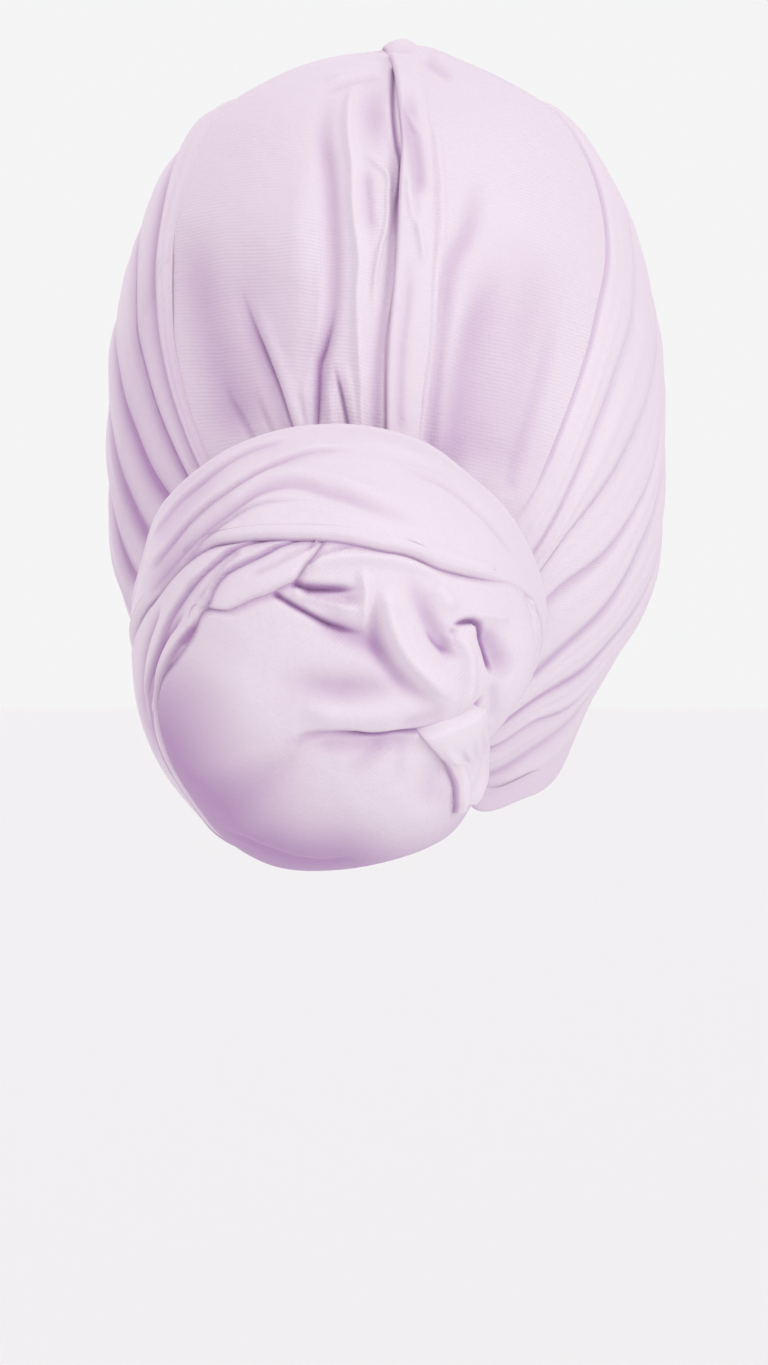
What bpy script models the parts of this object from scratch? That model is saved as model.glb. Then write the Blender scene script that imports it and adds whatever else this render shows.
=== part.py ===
"""Pulled-back head wrap: fitted crown, pleated front wrap, wound bun.

Frame: origin at the inner top of the crown, +Z up, the face looks to -Y and
the bun is at +Y. All named sizes below are millimetres and are scaled to
metres when a mesh is made.
"""
import math

import bmesh
import bpy
import numpy as np

MM = 0.001
WALL = 2.0            # gathered jersey, two plies
TOP = 2.2             # outer top of the crown above the origin
GAP = 0.8             # play between two layers of cloth
RAY_CENTRE = (0.0, 0.0, -120.0)

# Crown outline, one row a level: depth below the top, half width,
# reach to the front, reach to the back.
CROWN_COLUMNS = ("depth", "half_width", "front", "back")
CROWN_LEVELS = (
    (0, 0, 0, 0), (2, 20, 23, 21), (10, 40, 49, 45), (18, 52.5, 64, 59),
    (26, 60.5, 74.5, 70), (34, 66, 81.5, 78), (50, 74.5, 91, 89),
    (66, 80, 96.5, 96), (82, 83.7, 100, 101), (98, 86, 102, 104),
    (114, 86.6, 103, 105), (130, 86.7, 103, 104.5), (146, 86.2, 102, 102),
    (162, 84.8, 99, 98), (178, 80.2, 95, 92.5), (194, 70.8, 90, 85.5),
    (210, 62, 84, 78.5), (226, 56, 78, 71.5), (246, 51.5, 72, 64),
)

# Hem, one row an angle: degrees from the back of the head, depth of the hem.
HEM_COLUMNS = ("angle", "depth")
HEM = ((0, 240), (30, 239), (50, 236), (75, 228), (87, 217), (96, 200),
       (108, 178), (125, 152), (145, 128), (165, 114), (180, 110))

# Crown folds, one row a fold: angle from the back at its top and at the bun
# (positive is the wearer's right seen from behind), half width in degrees,
# height (negative is a valley), depth where it starts and where it ends.
CROWN_FOLD_COLUMNS = ("angle_top", "angle_low", "half_width", "height",
                      "depth_start", "depth_end")
CROWN_FOLDS = (
    (-9.5, -4.5, 4.5, 1.6, 8, 135),
    (-16.0, -12.5, 4.5, -1.5, 12, 135),
    (16.0, 8.0, 5.0, -1.2, 20, 135),
    (-38.0, -18.0, 5.0, -1.3, 66, 135),
)

# Front wrap, one row a station from the front of the head to the bun:
# angle and depth of its upper edge, angle and depth of its lower edge.
WRAP_COLUMNS = ("upper_angle", "upper_depth", "lower_angle", "lower_depth")
WRAP_RIGHT = (
    (180, 9, 180, 111), (150, 9.5, 152, 123), (115, 11, 128, 149),
    (80, 17, 108, 179), (66.5, 41, 96, 201), (57, 69, 87, 218),
    (48, 91, 75, 229), (37, 125, 50, 237), (25.5, 153, 32, 240),
    (17, 162, 22, 232),
)
WRAP_LEFT = (
    (180, 9, 180, 111), (150, 9.5, 152, 123), (115, 11, 128, 149),
    (78, 17, 108, 179), (62, 38, 96, 201), (56, 68, 87, 218),
    (50.5, 93, 75, 229), (43, 122, 50, 237), (34, 142, 35, 238),
    (28, 150, 29, 232),
)
WRAP_PLEATS = 7
WRAP_WALL = 1.6
WRAP_GAP = 1.4
BUN_NECK = 44.0       # radius the ends of the wrap keep from the bun's middle
WRAP_PLEAT_HEIGHT = 1.1

# Bun: centre of the wound ring, its tilt (the axis looks back and down).
BUN_CENTRE = (14.6, 108.0, -186.0)
BUN_TILT = math.radians(19.0)
# Bun outline, one row an angle round the bun (0 is the wearer's left, 90 is
# up): radius at the ring plane, and how far over the bun the wound band
# reaches (0 is the ring plane, 1 is the top of the bun).
BUN_COLUMNS = ("angle", "radius", "band_edge")
BUN_ROUND = (
    (0, 62.1, 0.36), (20, 62.5, 0.46), (40, 66.3, 0.58), (60, 66.4, 0.63),
    (75, 65.9, 0.59), (90, 65.4, 0.52), (110, 65.4, 0.52), (130, 62.9, 0.46),
    (150, 63.4, 0.35), (165, 63.3, 0.37), (180, 60.7, 0.42),
    (195, 56.2, 0.40), (210, 51.5, 0.28), (225, 58.4, 0.18),
    (240, 64.2, 0.12), (255, 65.3, 0.11), (270, 67.9, 0.11),
    (287, 69.7, 0.10), (300, 68.2, 0.10), (315, 65.3, 0.16),
    (330, 64.0, 0.29), (345, 62.8, 0.33),
)
BUN_HEIGHT = 68.0     # from the ring plane to the top of the bun
BUN_BOX = 0.88        # below one is squarer than an ellipse
BAND_BACK = 18.0      # the band's reach from the ring plane to the head
BAND_ROLL = 14.0      # how far the band turns in at the head
BAND_INNER = 43.5     # radius of the hole through the band
BAND_LIP = 4.0        # thickness at the band's edge on the bun
BAND_STRANDS = 3
POUCH_PLAY = 1.3      # between pouch and band
POUCH_MOUTH = 38.0    # radius of the pouch's mouth at the head
# Pouch folds, one row a fold: start and end on its face (across, up from the
# bun's centre), half width, height (negative is a valley).
POUCH_FOLD_COLUMNS = ("x0", "z0", "x1", "z1", "half_width", "height")
POUCH_FOLDS = (
    (16, -26, -42, -22, 5, -2.6), (14, -18, -40, -14, 7, 1.6),
    (-10, 14, -36, -14, 6, -2.2), (-18, 17, -42, -6, 6, 1.8),
    (20, 17, -10, 3, 4, -2.2), (14, 20, -8, 16, 3, -1.8),
)
# Tucked end, one row a level down the bun's right: left and right edge
# across, height of the row (world), lift off the pouch at its middle.
TAIL_COLUMNS = ("left", "right", "z", "swell")
TAIL = ((-9.4, -30.6, -210.8, 1.6), (-13.0, -30.6, -215.5, 1.8),
        (-15.6, -30.2, -220.2, 1.6), (-18.0, -29.4, -226.0, 1.4),
        (-18.6, -28.0, -232.5, 1.2), (-18.0, -26.2, -238.5, 1.0),
        (-16.6, -23.6, -243.0, 0.8))
TAIL_WALL = 2.0
TAIL_GAP = 1.4

# Centre pleat, one row a level: distance back from the top along the crown
# given as depth, its left and right edge across.
PLEAT_COLUMNS = ("depth", "left", "right", "height")
PLEAT = ((0.9, 0.5, -10.0, 3.2), (3, -0.5, -11.0, 2.6), (8, -1.5, -11.8, 2.2),
         (14, -2.6, -12.4, 2.0), (24, -3.6, -13.0, 2.0), (36, -4.3, -13.7, 2.0),
         (50, -3.6, -14.6, 2.0), (66, -2.8, -15.2, 2.0), (82, -1.6, -15.4, 2.0),
         (98, -0.2, -15.2, 2.0), (112, 0.3, -12.8, 2.0), (127, 0.3, -11.0, 2.0))

CLOTH = (0.74, 0.60, 0.74, 1.0)


def smooth_curve(xs, ys, x):
    """Monotone cubic through the rows of a table."""
    xs = np.asarray(xs, float)
    ys = np.asarray(ys, float)
    x = np.asarray(x, float)
    step = np.diff(xs)
    rise = np.diff(ys) / step
    slope = np.zeros(len(xs))
    slope[0] = rise[0]
    slope[-1] = rise[-1]
    for i in range(1, len(xs) - 1):
        if rise[i - 1] * rise[i] > 0:
            w1 = 2 * step[i] + step[i - 1]
            w2 = step[i] + 2 * step[i - 1]
            slope[i] = (w1 + w2) / (w1 / rise[i - 1] + w2 / rise[i])
    k = np.clip(np.searchsorted(xs, x, side="right") - 1, 0, len(xs) - 2)
    t = np.clip((x - xs[k]) / step[k], 0.0, 1.0)
    return ((2 * t**3 - 3 * t**2 + 1) * ys[k]
            + (t**3 - 2 * t**2 + t) * step[k] * slope[k]
            + (-2 * t**3 + 3 * t**2) * ys[k + 1]
            + (t**3 - t**2) * step[k] * slope[k + 1])


def round_curve(table, column, degrees):
    """Periodic smooth curve through a table whose first column is an angle."""
    rows = np.array(table, float)
    angles = np.concatenate([rows[-2:, 0] - 360, rows[:, 0], rows[:2, 0] + 360])
    values = np.concatenate([rows[-2:, column], rows[:, column],
                             rows[:2, column]])
    return smooth_curve(angles, values, np.mod(degrees, 360.0))


LEVELS = np.array(CROWN_LEVELS, float)
LEVEL_ROOT = np.sqrt(LEVELS[:, 0])


def crown_section(depth):
    root = np.sqrt(np.maximum(depth, 0.0))
    half = smooth_curve(LEVEL_ROOT, LEVELS[:, 1], root)
    front = smooth_curve(LEVEL_ROOT, LEVELS[:, 2], root)
    back = smooth_curve(LEVEL_ROOT, LEVELS[:, 3], root)
    middle = 0.5 * (back - front) + 6 * depth / (depth + 40.0)
    return half, front, back, middle


def crown_point(angle, depth):
    """Point on the crown: angle in degrees from the back, depth from the top."""
    turn = np.radians(angle + 90.0)
    half, front, back, middle = crown_section(depth)
    s, c = np.sin(turn), np.cos(turn)
    y = middle + np.where(s > 0, back - middle, front + middle) * s
    return np.stack(np.broadcast_arrays(half * c, y, TOP - depth + 0 * turn), -1)


def inside_crown(p):
    depth = TOP - p[..., 2]
    half, front, back, middle = crown_section(np.clip(depth, 1e-4, 246.0))
    reach = np.where(p[..., 1] > middle, back - middle, front + middle)
    share = (p[..., 0] / half) ** 2 + ((p[..., 1] - middle) / reach) ** 2
    return (share < 1.0) & (depth > 0)


def onto_crown(target):
    """Push points along rays from the middle of the head onto the crown."""
    centre = np.array(RAY_CENTRE)
    ray = target - centre
    ray = ray / np.linalg.norm(ray, axis=-1, keepdims=True)
    near = np.full(target.shape[:-1], 20.0)
    far = np.full(target.shape[:-1], 200.0)
    for _ in range(40):
        mid = 0.5 * (near + far)
        hit = inside_crown(centre + ray * mid[..., None])
        near = np.where(hit, mid, near)
        far = np.where(hit, far, mid)
    return centre + ray * near[..., None]


def crown_back(x, z):
    """Depth towards the back of the crown at a place across and up."""
    half, front, back, middle = crown_section(np.clip(TOP - z, 0.5, 246.0))
    return middle + (back - middle) * np.sqrt(np.clip(1 - (x / half) ** 2, 0, 1))


def grid_normals(grid, wrap_u):
    """Unit normals of a grid of points, first index across, second along."""
    if wrap_u:
        du = np.roll(grid, -1, 0) - np.roll(grid, 1, 0)
    else:
        du = np.gradient(grid, axis=0)
    dv = np.gradient(grid, axis=1)
    n = np.cross(du, dv)
    size = np.linalg.norm(n, axis=-1, keepdims=True)
    return n / np.maximum(size, 1e-9)


def bump(x):
    """Smooth hump of height one between -1 and 1."""
    return np.where(np.abs(x) < 1, 0.5 + 0.5 * np.cos(np.pi * x), 0.0)


def new_material(name, colour):
    material = bpy.data.materials.new(name)
    material.use_nodes = True
    shader = material.node_tree.nodes.get("Principled BSDF")
    shader.inputs["Base Color"].default_value = colour
    shader.inputs["Roughness"].default_value = 0.8
    material.diffuse_color = colour
    return material


def make_object(name, points, faces, colour):
    mesh = bpy.data.meshes.new(name)
    mesh.from_pydata([tuple(float(c) * MM for c in p) for p in points], [], faces)
    mesh.update()
    work = bmesh.new()
    work.from_mesh(mesh)
    bmesh.ops.remove_doubles(work, verts=work.verts, dist=1e-7)
    bmesh.ops.recalc_face_normals(work, faces=work.faces)
    bmesh.ops.triangulate(work, faces=work.faces)
    work.to_mesh(mesh)
    work.free()
    thing = bpy.data.objects.new(name, mesh)
    bpy.context.scene.collection.objects.link(thing)
    mesh.materials.append(new_material(name + "_cloth", colour))
    return thing


def slab(name, outer, inner, colour, around, pole=False):
    """Closed wall between two grids. around: the first index closes on
    itself; pole: the first column is one point."""
    m, n = outer.shape[:2]
    points = np.concatenate([outer.reshape(-1, 3), inner.reshape(-1, 3)])
    base = m * n
    faces = []

    def at(i, j, side):
        i = i % m
        if pole and j == 0:
            i = 0
        return side * base + i * n + j

    columns = m if around else m - 1
    for i in range(columns):
        for j in range(n - 1):
            a, b = at(i, j, 0), at(i + 1, j, 0)
            c, d = at(i + 1, j + 1, 0), at(i, j + 1, 0)
            e, f = at(i, j, 1), at(i + 1, j, 1)
            g, h = at(i + 1, j + 1, 1), at(i, j + 1, 1)
            if a == b:
                faces.append((a, c, d))
                faces.append((e, h, g))
            else:
                faces.append((a, b, c, d))
                faces.append((e, h, g, f))
        j = n - 1
        faces.append((at(i, j, 0), at(i + 1, j, 0), at(i + 1, j, 1), at(i, j, 1)))
        if not pole:
            faces.append((at(i, 0, 0), at(i, 0, 1), at(i + 1, 0, 1),
                          at(i + 1, 0, 0)))
    if not around:
        for i in (0, m - 1):
            for j in range(n - 1):
                faces.append((at(i, j, 0), at(i, j + 1, 0), at(i, j + 1, 1),
                              at(i, j, 1)))
    used = sorted({k for face in faces for k in face})
    place = {k: i for i, k in enumerate(used)}
    return make_object(name, points[used],
                       [tuple(place[k] for k in face) for face in faces], colour)


def bun_frame():
    axis = np.array([0.0, math.cos(BUN_TILT), -math.sin(BUN_TILT)])
    up = np.array([0.0, math.sin(BUN_TILT), math.cos(BUN_TILT)])
    return np.array(BUN_CENTRE), np.array([1.0, 0.0, 0.0]), up, axis


def bun_point(degrees, radius, height):
    centre, side, up, axis = bun_frame()
    turn = np.radians(degrees)
    return (centre + (radius * np.cos(turn))[..., None] * side
            + (radius * np.sin(turn))[..., None] * up
            + height[..., None] * axis)


def crown_relief(angle, depth):
    lift = np.zeros(np.broadcast(angle, depth).shape)
    for top, low, half, height, start, end in CROWN_FOLDS:
        share = np.clip((depth - start) / (end - start), 0, 1)
        line = top + (low - top) * share
        fade = np.clip((depth - start) / 15.0, 0, 1) * np.clip(
            (end + 12 - depth) / 12.0, 0, 1)
        lift = lift + height * fade * bump((angle - line) / half)
    return lift


def build_crown():
    fine = np.linspace(-48.0, 48.0, 29)
    coarse = np.linspace(48.0, 312.0, 23)[1:-1]
    angle = np.concatenate([fine, coarse])
    signed = np.where(angle > 180, angle - 360, angle)
    hem = smooth_curve([r[0] for r in HEM], [r[1] for r in HEM],
                       np.abs(signed)) - 3.0
    share = np.array([0, 0.055, 0.12, 0.19, 0.26, 0.33, 0.40, 0.47, 0.54, 0.61,
                      0.68, 0.75, 0.82, 0.88, 0.94, 1.0])
    depth = hem[:, None] * share[None, :] ** 1.35
    grid = crown_point(angle[:, None], depth)
    normal = grid_normals(grid, True)
    normal[:, 0] = (0, 0, 1)
    normal *= np.sign((normal * (grid - np.array(RAY_CENTRE))).sum(
        -1, keepdims=True))
    relief = crown_relief(signed[:, None], depth)
    outer = grid + normal * relief[..., None]
    inner = outer - normal * WALL
    crown = slab("crown", outer, inner, CLOTH, True, True)
    # opening at the back into the bun
    centre, side, up, axis = bun_frame()
    bpy.ops.mesh.primitive_cylinder_add(
        vertices=28, radius=34.0 * MM, depth=90 * MM,
        location=(BUN_CENTRE[0] * MM, 85 * MM, (BUN_CENTRE[2] - 2) * MM),
        rotation=(math.radians(90), 0, 0))
    tool = bpy.context.object
    cut = crown.modifiers.new("opening", "BOOLEAN")
    cut.operation = "DIFFERENCE"
    cut.solver = "EXACT"
    cut.object = tool
    bpy.context.view_layer.objects.active = crown
    bpy.ops.object.modifier_apply(modifier=cut.name)
    bpy.data.objects.remove(tool, do_unlink=True)
    return crown


def wrap_grid(along, across):
    """Rest surface of the front wrap on the crown, lifted towards the bun."""
    right = np.array(WRAP_RIGHT, float)
    left = np.array(WRAP_LEFT, float)
    left[:, (0, 2)] *= -1
    left[0, (0, 2)] = -180
    stations = np.linspace(0, 1, len(right))

    def edge(table, column):
        a = crown_point(table[:, column], table[:, column + 1])
        v = a - np.array(RAY_CENTRE)
        return v / np.linalg.norm(v, axis=-1, keepdims=True)

    rows = []
    for s in along:
        table = right if s >= 0 else left
        t = abs(s)
        ends = []
        for column in (2, 0):
            e = edge(table, column)
            ends.append(np.array([smooth_curve(stations, e[:, k], t)
                                  for k in range(3)]))
        low, high = (v / np.linalg.norm(v) for v in ends)
        turn = math.acos(float(np.clip(low @ high, -1, 1)))
        w = across[:, None]
        rows.append((np.sin((1 - w) * turn) * low + np.sin(w * turn) * high)
                    / math.sin(turn))
    direction = np.array(rows)
    grid = onto_crown(np.array(RAY_CENTRE) + direction * 100.0)
    # tent towards the bun
    dx = grid[..., 0] - BUN_CENTRE[0]
    dz = grid[..., 2] - BUN_CENTRE[2]
    away = np.sqrt(dx * dx + dz * dz)
    # the ends part round the neck of the bun
    clear = BUN_NECK + 5.0 * np.logaddexp(0.0, (away - BUN_NECK) / 5.0)
    behind = (grid[..., 1] > 0) & (away < BUN_NECK + 25.0)
    dx, dz = dx * clear / away, dz * clear / away
    moved = np.stack([BUN_CENTRE[0] + dx, 0 * dx, BUN_CENTRE[2] + dz], -1)
    moved[..., 1] = crown_back(moved[..., 0], moved[..., 2])
    grid = np.where(behind[..., None], moved, grid)
    away = np.where(behind, clear, away)
    tent = (69.0 + 0.344 * (grid[..., 2] - BUN_CENTRE[2])
            - 2.0 * (away - 50.0))
    y = grid[..., 1]
    soft = 4.0
    lifted = soft * np.logaddexp(y / soft, tent / soft)
    fade = np.clip((y - 8.0) / 40.0, 0.0, 1.0)
    fade = fade * fade * (3 - 2 * fade)
    grid[..., 1] = y + fade * (np.maximum(lifted, y) - y)
    return grid


def build_front_wrap():
    along = np.linspace(-1, 1, 43)
    across = np.linspace(0, 1, 2 * WRAP_PLEATS + 1)
    grid = wrap_grid(along, across)
    normal = grid_normals(grid, False)
    normal *= np.sign((normal * (grid - np.array(RAY_CENTRE))).sum(
        -1, keepdims=True))
    ripple = WRAP_PLEAT_HEIGHT * (0.5 - 0.5 * np.cos(
        2 * np.pi * WRAP_PLEATS * across))[None, :, None]
    inner = grid + normal * (WRAP_GAP + ripple)
    outer = inner + normal * WRAP_WALL
    return slab("front_wrap", outer, inner, CLOTH, False)


def bun_hull(degrees, way):
    """Outer form of the bun: radius and height above the ring plane."""
    radius = round_curve(BUN_ROUND, 1, degrees)
    c = np.abs(np.cos(np.radians(90.0 * way)))
    s = np.sin(np.radians(90.0 * way))
    roll = np.minimum(BAND_ROLL, radius - BAND_INNER - 3.0)
    r = np.where(way >= 0, radius * c**BUN_BOX, radius - roll * (1 - c))
    h = np.where(way >= 0, BUN_HEIGHT * np.abs(s)**BUN_BOX, BAND_BACK * s)
    return r, h


def hull_point(degrees, way):
    r, h = bun_hull(degrees, way)
    return bun_point(degrees, r, h)


def hull_normal(degrees, way):
    """Outward unit normal of the bun's outer form."""
    low, high = np.clip(way - 0.01, 0.002, 0.985), np.clip(way + 0.01, 0.02, 0.998)
    du = hull_point(degrees + 2.0, way * 0 + 0.5 * (low + high)) - hull_point(
        degrees - 2.0, way * 0 + 0.5 * (low + high))
    dv = hull_point(degrees, high) - hull_point(degrees, low)
    n = np.cross(du, dv)
    n /= np.linalg.norm(n, axis=-1, keepdims=True)
    centre, side, up, axis = bun_frame()
    out = hull_point(degrees, way * 0 + 0.5 * (low + high)) - centre
    return n * np.where((n * out).sum(-1, keepdims=True) < 0, -1, 1)


def band_wall(degrees, way):
    """Thickness of the wound band at a place on the bun."""
    edge = round_curve(BUN_ROUND, 2, degrees)
    full = round_curve(BUN_ROUND, 1, degrees) - BAND_INNER
    t = np.clip(way / edge, 0, 1)
    return full * (1 - t) + BAND_LIP * t


def pouch_relief(p):
    lift = np.zeros(p.shape[:-1])
    x = p[..., 0] - BUN_CENTRE[0]
    z = p[..., 2] - BUN_CENTRE[2]
    for x0, z0, x1, z1, half, height in POUCH_FOLDS:
        dx, dz = x1 - x0, z1 - z0
        size = math.hypot(dx, dz)
        t = ((x - x0) * dx + (z - z0) * dz) / size**2
        off = ((x - x0) * dz - (z - z0) * dx) / size
        lift = lift + height * bump(off / half) * bump(
            np.clip((np.abs(t - 0.5) - 0.35) / 0.35, 0, 1))
    return lift


def build_pouch():
    degrees = np.arange(0, 360, 10.0)[:, None]
    edge = round_curve(BUN_ROUND, 2, degrees)
    under = np.array([0.15, 0.5, 0.85, 1.0])
    past = np.array([0.02, 0.06, 0.11, 0.17])
    rest = np.array([0.25, 0.5, 0.75, 1.0])
    start = edge + past[-1]
    way = np.concatenate([edge * under, edge + past,
                          start + (0.999 - start) * rest], axis=1)
    sunk = np.clip((way - edge - 0.02) / 0.15, 0, 1)
    sunk = 1 - sunk * sunk * (3 - 2 * sunk)
    turn = np.broadcast_to(degrees, way.shape)
    base = hull_point(turn, way)
    normal = hull_normal(turn, way)
    offset = -(band_wall(turn, way) + POUCH_PLAY) * sunk
    offset = offset + np.minimum(pouch_relief(base), 0.6) * (1 - sunk)
    face = base + normal * offset[..., None]
    # neck, from the crown to the band
    neck = BAND_INNER - POUCH_PLAY
    radius = np.array([POUCH_MOUTH, neck, neck]) + 0 * degrees
    height = np.array([-18.0, -7.0, 1.0]) + 0 * degrees
    for _ in range(30):
        p = bun_point(degrees[:, 0], radius[:, 0], height[:, 0])
        miss = p[:, 1] - crown_back(p[:, 0], p[:, 2]) - 3.3
        height[:, 0] -= miss / math.cos(BUN_TILT)
    height[:, 1] = np.maximum(height[:, 1], height[:, 0] + 4.0)
    tube = bun_point(np.broadcast_to(degrees, radius.shape), radius, height)
    outer = np.concatenate([tube, face], axis=1)
    grid_n = grid_normals(outer, True)
    centre, side, up, axis = bun_frame()
    grid_n[:, -1] = axis
    grid_n *= np.where((grid_n * (outer - centre - 20 * axis)).sum(
        -1, keepdims=True) < 0, -1, 1)
    flat = bun_point(degrees, 0 * degrees + 1.0, 0 * degrees)[:, 0] - centre
    grid_n[:, 0:3] = flat[:, None]
    inner = outer - grid_n * WALL
    return slab("bun_pouch", outer[:, ::-1], inner[:, ::-1], CLOTH, True, True)


def build_ring():
    degrees = np.arange(0, 360, 10.0)[:, None]
    edge = round_curve(BUN_ROUND, 2, degrees)
    back = np.array([-1.0, -0.7, -0.35, 0.0]) + 0 * degrees
    front = edge * np.array([0.15, 0.32, 0.5, 0.68, 0.85, 1.0])
    way = np.concatenate([back, front], axis=1)
    turn = np.broadcast_to(degrees, way.shape)
    outer = hull_point(turn, way)
    normal = hull_normal(turn, np.maximum(way, 0.0))
    share = np.clip(way / edge, 0, 1)
    groove = -0.9 * np.sin(np.pi * BAND_STRANDS * share) ** 2
    ahead = outer - normal * band_wall(turn, way)[..., None]
    hole = bun_point(turn, 0 * way + BAND_INNER, bun_hull(turn, way)[1])
    inner = np.where((way <= 0)[..., None], hole, ahead)
    outer = outer + normal * groove[..., None]
    return slab("bun_wrap", outer, inner, CLOTH, True)


def hull_face(x, z):
    """Reach to the back of the bun at a place across and up; past its
    outline the surface falls away towards the head."""
    centre, side, up, axis = bun_frame()
    low = np.full(x.shape, 0.14)
    high = np.full(x.shape, 0.999)

    def miss(way):
        height = BUN_HEIGHT * np.sin(np.radians(90 * way)) ** BUN_BOX
        rise = (z - centre[2] + height * math.sin(BUN_TILT)) / math.cos(BUN_TILT)
        across = x - centre[0]
        turn = np.degrees(np.arctan2(rise, across))
        return np.hypot(across, rise) - bun_hull(turn, way)[0], rise, height

    excess = np.clip(miss(low)[0], 0.0, 9.0)
    for _ in range(30):
        mid = 0.5 * (low + high)
        inside = miss(mid)[0] < 0
        low = np.where(inside, mid, low)
        high = np.where(inside, high, mid)
    over, rise, height = miss(low)
    return (centre[1] + rise * math.sin(BUN_TILT) + height * math.cos(BUN_TILT)
            - 1.6 * excess)


def build_tail():
    rows = np.array(TAIL, float)
    k = np.linspace(0, len(rows) - 1, 13)
    index = np.arange(len(rows))
    left = smooth_curve(index, rows[:, 0], k)
    right = smooth_curve(index, rows[:, 1], k)
    tall = smooth_curve(index, rows[:, 2], k)
    swell = smooth_curve(index, rows[:, 3], k)
    share = np.linspace(0, 1, 7)
    x = left[:, None] + (right - left)[:, None] * share
    z = np.broadcast_to(tall[:, None], x.shape)
    grid = np.stack([x, hull_face(x, z), z], -1)
    normal = grid_normals(grid, False)
    centre, side, up, axis = bun_frame()
    normal *= np.where((normal * (grid - centre - 20 * axis)).sum(
        -1, keepdims=True) < 0, -1, 1)
    lift = np.maximum(pouch_relief(grid), 0)
    hump = swell[:, None] * np.sin(np.pi * share)
    inner = grid + normal * (lift + TAIL_GAP + 0.3 * hump)[..., None]
    outer = inner + normal * (TAIL_WALL + 0.7 * hump)[..., None]
    return slab("tucked_tail", outer, inner, CLOTH, False)


def build_pleat():
    rows = np.array(PLEAT, float)
    k = np.linspace(0, len(rows) - 1, 23)
    index = np.arange(len(rows))
    depth = smooth_curve(index, rows[:, 0], k)
    left = smooth_curve(index, rows[:, 1], k)
    right = smooth_curve(index, rows[:, 2], k)
    high = smooth_curve(index, rows[:, 3], k)
    share = np.linspace(0, 1, 7)
    x = left[:, None] + (right - left)[:, None] * share
    z = np.broadcast_to(TOP - depth[:, None], x.shape)
    grid = np.stack([x, crown_back(x, z), z], -1)
    normal = grid_normals(grid, False)
    normal *= np.sign((normal * (grid - np.array(RAY_CENTRE))).sum(
        -1, keepdims=True))
    # the pleat rises from its left edge to its right edge
    rise = (0.3 + 0.7 * np.sin(np.pi * share * 0.9))[None, :, None]
    inner = grid + normal * (GAP + 0.3)
    outer = inner + normal * (1.2 + high[:, None, None] * rise)
    return slab("centre_pleat", outer, inner, CLOTH, False)


for old in list(bpy.data.objects):
    bpy.data.objects.remove(old, do_unlink=True)
build_crown()
build_pleat()
build_front_wrap()
build_pouch()
build_ring()
build_tail()
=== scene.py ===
"""Pulled-back jersey head wrap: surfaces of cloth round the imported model.

Lengths in the tables are millimetres in the model's frame: origin at the inner
top of the crown, +Z up, the face to -Y, the bun at +Y. Fold lines are given in
the picture plane, 768 across and 1365 down, and are laid on the cloth there.
"""
import math

import bpy
import numpy as np
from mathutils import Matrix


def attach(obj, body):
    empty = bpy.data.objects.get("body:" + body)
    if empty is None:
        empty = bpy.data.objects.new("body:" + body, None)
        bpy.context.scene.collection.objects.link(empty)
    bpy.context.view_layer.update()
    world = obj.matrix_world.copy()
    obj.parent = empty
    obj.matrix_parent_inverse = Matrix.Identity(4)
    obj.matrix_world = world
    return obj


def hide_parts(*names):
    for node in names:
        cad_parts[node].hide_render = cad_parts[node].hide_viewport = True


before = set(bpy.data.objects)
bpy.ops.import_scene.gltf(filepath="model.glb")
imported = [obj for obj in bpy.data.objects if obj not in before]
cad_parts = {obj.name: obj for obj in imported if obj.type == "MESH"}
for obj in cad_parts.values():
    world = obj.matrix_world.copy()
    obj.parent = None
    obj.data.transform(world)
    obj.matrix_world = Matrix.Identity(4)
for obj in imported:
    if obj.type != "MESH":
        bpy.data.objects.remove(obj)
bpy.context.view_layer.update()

MM = 0.001

# ------------------------------------------------------------------ camera --
EYE = (0.96, 1800.0, -198.9)
PIXEL = 0.32          # millimetres a pixel in the plane through the head
VIEW_HIGH = 1365 * PIXEL

# ------------------------------------------------------------------- forms --
TOP = 2.2
RAY_CENTRE = np.array((0.0, 0.0, -120.0))
# Crown outline, one row a level: depth below the top, half width,
# reach to the front, reach to the back.
CROWN_LEVELS = np.array((
    (0, 0, 0, 0), (2, 20, 23, 21), (10, 40, 49, 45), (18, 52.5, 64, 59),
    (26, 60.5, 74.5, 70), (34, 66, 81.5, 78), (50, 74.5, 91, 89),
    (66, 80, 96.5, 96), (82, 83.7, 100, 101), (98, 86, 102, 104),
    (114, 86.6, 103, 105), (130, 86.7, 103, 104.5), (146, 86.2, 102, 102),
    (162, 84.8, 99, 98), (178, 80.2, 95, 92.5), (194, 70.8, 90, 85.5),
    (210, 62, 84, 78.5), (226, 56, 78, 71.5), (246, 51.5, 72, 64)), float)
HEM = ((0, 240), (30, 239), (50, 236), (75, 228), (87, 217), (96, 200),
       (108, 178), (125, 152), (145, 128), (165, 114), (180, 110))
# Front wrap, one row a station from the front of the head to the bun:
# angle and depth of its upper edge, angle and depth of its lower edge.
WRAP_RIGHT = (
    (180, 9, 180, 111), (150, 9.5, 152, 123), (115, 11, 128, 149),
    (80, 17, 108, 179), (66.5, 41, 96, 201), (57, 69, 87, 218),
    (48, 91, 75, 229), (37, 125, 50, 237), (25.5, 153, 32, 240),
    (17, 162, 22, 232))
WRAP_LEFT = (
    (180, 9, 180, 111), (150, 9.5, 152, 123), (115, 11, 128, 149),
    (78, 17, 108, 179), (62, 38, 96, 201), (56, 68, 87, 218),
    (50.5, 93, 75, 229), (43, 122, 50, 237), (34, 142, 35, 238),
    (28, 150, 29, 232))
BUN_NECK = 44.0
BUN_CENTRE = np.array((14.6, 108.0, -186.0))
BUN_TILT = math.radians(19.0)
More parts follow.
